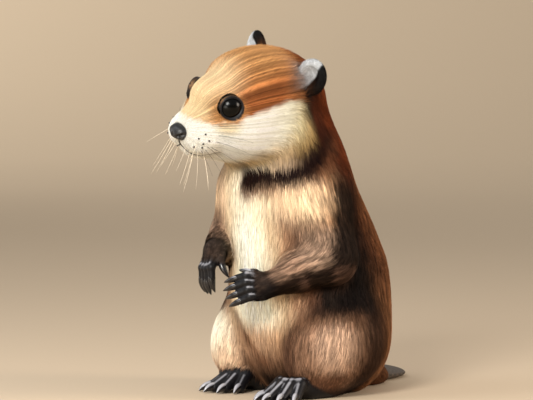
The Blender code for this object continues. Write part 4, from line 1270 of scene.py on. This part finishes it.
def makeTail():
    # Wide flat sections along the tail's line: w(s) c across, c from 1 to -1 and back, and h(s) (1 - c^2)^0.4 up.
    # Plates stand up as relief (1 - max(|x|, |y|)^4), x and y from -1 to 1 over each, and every second row is
    # shifted by half a plate.
    phase = np.array((0.0, 0.2, 0.5, 0.8))  # the first of each plate's four rings of points is its groove
    row = np.repeat(np.arange(paddle["rows"]), len(phase))
    inRow = np.tile(phase, paddle["rows"])
    s = -0.10 + (row + inRow) / (paddle["rows"] - 0.2) * (0.9 + 0.2 * math.pi / 2)
    s = np.where(s > 0.8, 0.8 + 0.2 * np.sin((s - 0.8) / 0.2), s)
    t = tail["paddleStart"] + (1 - tail["paddleStart"]) * s
    inside = np.clip(s, 0, 1)
    wide = tail["half"] * (0.50 + 0.50 * smooth(inside / 0.42))
    wide = wide * np.sqrt(np.clip(1 - np.clip((inside - 0.5) / 0.505, 0, 1) ** 2.8, 0, 1))
    wide = wide * (1 - 0.45 * ramp(-s, 0, 0.1))
    thick = tail["thick"] / 2 * (1 + 0.5 * np.exp(-6 * inside)) * (1 - 0.45 * inside**6)
    thick = thick * (1 - 0.5 * ramp(-s, 0, 0.1))
    along = unit(tailLine(t + 0.01) - tailLine(t - 0.01))
    across = unit(np.cross(along, (0, 0, 1.0)))
    up = np.cross(across, along)
    c = np.linspace(1, -1, paddle["platesAcross"] * paddle["steps"] + 1)
    c = np.concatenate([[1, 0.994], c[1:-1], [-0.994]])
    c = np.concatenate([c, -c])
    face = np.where(np.arange(len(c)) >= len(c) // 2, -1, 1)  # upper and lower
    inPlate = np.mod((c + 1) / 2 * paddle["platesAcross"] + 0.5 * (row[:, None] % 2), 1) * 2 - 1
    plate = 1 - np.maximum(np.abs(inPlate), np.abs(inRow * 2 - 1)[:, None]) ** 4
    raised = paddle["relief"] * (plate - 0.6) * ramp(1 - np.abs(c), 0.01, 0.06) * ramp(s, -0.02, 0.06)[:, None]
    size = (thick[:, None] * np.maximum(1 - c * c, 0) ** 0.4 + raised) * face
    corners = tailLine(t)[:, None] + across[:, None] * (wide[:, None] * c)[..., None] + up[:, None] * size[..., None]
    corners[..., 2] = np.maximum(corners[..., 2], 0)
    p, faces = closed(corners, [corners[0].mean(axis=0), corners[-1].mean(axis=0)])
    top = np.concatenate([plate.ravel(), [0, 0]])
    newPiece("tail", p, faces, tailMaterial(), "tail_skin", ["tail_paddle"], scaleTop=top)


makeTail()
print("tail finished")

# Whiskers, the mouth's edge and the spots where whiskers grow

whisker = dict(sides=5, rings=12, root=0.22 * mm, tip=0.07 * mm, sunk=1.5 * mm, spread=0.04)
whiskerDots = points(
    (23, -77, -21.5), (25, -71, -17.5), (28.7, -68.7, -23), (26.7, -74, -26), (20.5, -79.6, -30), (26, -74.4, -29.8))
darkWhiskers = (  # root in the head's frame, direction, length and droop
    ((30.5, -60, -18), (0.85, 0.60, 0.10), 36, (0, 0.1, -0.16)),
    ((30.5, -62, -24), (0.85, 0.60, 0.0), 40, (0, 0.1, -0.15)),
    ((29, -67, -29.5), (0.58, 0.72, -0.30), 36, (0, 0.1, -0.20)),
    ((28.5, -70, -29), (0.60, 0.62, -0.42), 30, (0, 0.1, -0.25)),
    ((27, -71, -32), (0.50, 0.45, -0.62), 26, (0, 0.05, -0.30)),
    ((24.5, -74.4, -33), (0.50, 0.30, -0.70), 22, (0, 0, -0.30)),
)
paleDroop = (0, -0.12, -0.10)
paleWhiskers = (
    ((22, -76, -36), (0.42, -0.10, -0.95), 36, paleDroop),
    ((18, -78, -37), (0.28, -0.25, -0.95), 38, paleDroop),
    ((14, -79, -38), (0.18, -0.36, -0.95), 34, paleDroop),
    ((24, -70, -38), (0.52, 0.15, -0.90), 34, paleDroop),
    ((20, -66, -42), (0.35, 0.20, -0.95), 30, paleDroop),
    ((12, -74, -43), (0.10, -0.25, -1.0), 28, paleDroop),
    ((8, -80, -36), (0.12, -0.50, -0.90), 24, paleDroop),
    ((23, -79, -27), (0.45, -0.62, -0.55), 22, paleDroop),
)


def hairMaterial(name, code):
    # Stiff smooth whisker hair, and the dark skin at its roots and along the lips: its colour a little uneven.
    made, tree, shader, _, grain = grained(name, 250, 2, Roughness=0.4, IOR=1.55)
    stops = (0.3, code, 0.8), (0.7, code, 1.15)
    addNode(tree, shader, None, {"Base Color": addNode(tree, "ValToRGB", dict(stops=stops), dict(Fac=grain))})
    return made


def tube(root, way, length, droop):  # root + way L t + droop L t^2, thinning from root to tip
    t = np.linspace(0, 1, whisker["rings"])[:, None]
    path = root + unit(way) * length * t + droop * length * t * t
    along = unit(np.gradient(path, axis=0))
    side = unit(np.cross(along, (0.3, 0.2, 0.9)))
    width = whisker["root"] + (whisker["tip"] - whisker["root"]) * t
    ring = ringAround(side, np.cross(side, along), whisker["sides"])
    return closed(path[:, None] + ring * width[:, None], [path[0], path[-1]])


def makeWhiskers(name, rows, material, slot):  # the same rows on both sides, each hair turned a little
    made = []
    for side in sides:
        for root, way, length, droop in rows:
            jitter = rng.normal(0, whisker["spread"], 3)
            direction = headAxes @ (onSide(unit(way), side) + jitter)
            start = fromHead(onSide(points(*root), side)) - direction * whisker["sunk"]
            made.append(tube(start, direction, length * mm * rng.uniform(0.92, 1.05), onSide(droop, side)))
    newPiece(name, *merged(made), material, slot)


def makeLips():  # the dark edge of the lips: a tube along the mouth, partly sunk in the skin
    t, count = np.linspace(0, len(mouthPath) - 1, 40), np.arange(len(mouthPath))
    kernel = np.array((1, 2, 3, 2, 1)) / 9
    even = [np.pad(np.interp(t, count, mouthPath[:, k]), 2, mode="edge") for k in range(3)]
    half = np.stack([np.convolve(line, kernel, "valid") for line in even], axis=1)
    width = (0.62 * mm * np.sin(np.linspace(0.35, 1, len(half)) * math.pi) ** 0.5)[:, None, None]
    made = []
    for side in sides:
        path, out = onSkin(fromHead(onSide(half, side)), np.full(len(half), 0.35 * mm))
        along = unit(np.gradient(path, axis=0))
        across = unit(np.cross(along, out))
        ring = ringAround(across, np.cross(across, along), 8)
        made.append(closed(path[:, None] + ring * width, [path[0], path[-1]]))
    newPiece("lips", *merged(made), hairMaterial("lipEdge", "#1A1210"), "black_skin")


def makeDots():  # dark dots where whiskers grow: balls of radius 0.95 mm, their middles 0.9 mm over the skin
    ball, _ = sphere(7, 12, 0.2)
    centres = np.concatenate([fromHead(onSide(whiskerDots, side)) for side in sides])
    centres, _ = onSkin(centres, np.full(len(centres), 0.9 * mm))
    made = [closed(centre + ball * 0.95 * mm, centre + poles * 0.95 * mm) for centre in centres]
    newPiece("whisker_roots", *merged(made), hairMaterial("whiskerRoot", "#17120F"), "black_skin")


makeWhiskers("whiskers_dark", darkWhiskers, hairMaterial("darkWhisker", "#241C18"), "coat_dark")
makeWhiskers("whiskers_pale", paleWhiskers, hairMaterial("paleWhisker", "#E6D9C2"), "coat_tan")
makeLips()
makeDots()
print("whiskers finished")

# Floor and light

stageSet = dict(floor="#CAB69C", sky="#F4F1EC", skyStrength=0.56, flat=3.6, rise=0.16, aim=(0, -0.03, 0.2))


def makeFloor():
    # A dish: flat at first, then rising as 0.16 (r - 3.6)^2
    rings = np.concatenate([[0.001], np.geomspace(0.3, 7.0, 24)])[:, None]
    a = np.linspace(0, 2 * math.pi, 96, endpoint=False)
    height = stageSet["rise"] * np.maximum(rings - stageSet["flat"], 0) ** 2 - 0.0004
    corners = np.stack([rings * np.cos(a), rings * np.sin(a), np.tile(height, 96)], axis=-1)
    made, tree, shader, _, grain = grained("paperFloor", 400, 3, Roughness=0.9)  # dull paper, a little uneven
    stops = (0, stageSet["floor"], 0.96), (1, stageSet["floor"], 1.03)
    addNode(tree, shader, None, {"Base Color": addNode(tree, "ValToRGB", dict(stops=stops), dict(Fac=grain))})
    newPiece("floor", corners.reshape(-1, 3), gridFaces(*corners.shape[:2]), made)


def addLight(name, place, aim, size, power, code):
    data = bpy.data.lights.new(name, "AREA")
    data.shape, data.size, data.energy = "DISK", size, power
    data.color = toLinear(code)
    lamp = bpy.data.objects.new(name, data)
    lamp.location = place
    lamp.rotation_euler = (Vector(aim) - Vector(place)).to_track_quat("-Z", "Y").to_euler()
    bpy.context.scene.collection.objects.link(lamp)


makeFloor()
sky = bpy.data.worlds.new("studio")
bpy.context.scene.world = sky
sky.use_nodes = True
light = {"Color": colour(stageSet["sky"]), "Strength": stageSet["skyStrength"]}
addNode(sky.node_tree, sky.node_tree.nodes["Background"], light)
addLight("key", (0.80, -1.45, 1.00), stageSet["aim"], 0.6, 31, "#FFFCF6")
addLight("fill", (-1.5, -1.1, 0.4), stageSet["aim"], 1.2, 8, "#FFFFFF")
addLight("wall", (-4.6, 1.6, 2.4), (-5.9, 3.9, 0.6), 2.5, 58, "#FFFDF8")
addLight("rim", (1.5, 1.0, 0.7), stageSet["aim"], 0.7, 22, "#FFEEDC")
addLight("front", (0.45, -1.7, 0.12), stageSet["aim"], 0.8, 11, "#FFF8EC")
addLight("glint", (-0.55, -1.35, 1.60), stageSet["aim"], 0.8, 9, "#F6F9FF")
print("stage finished")
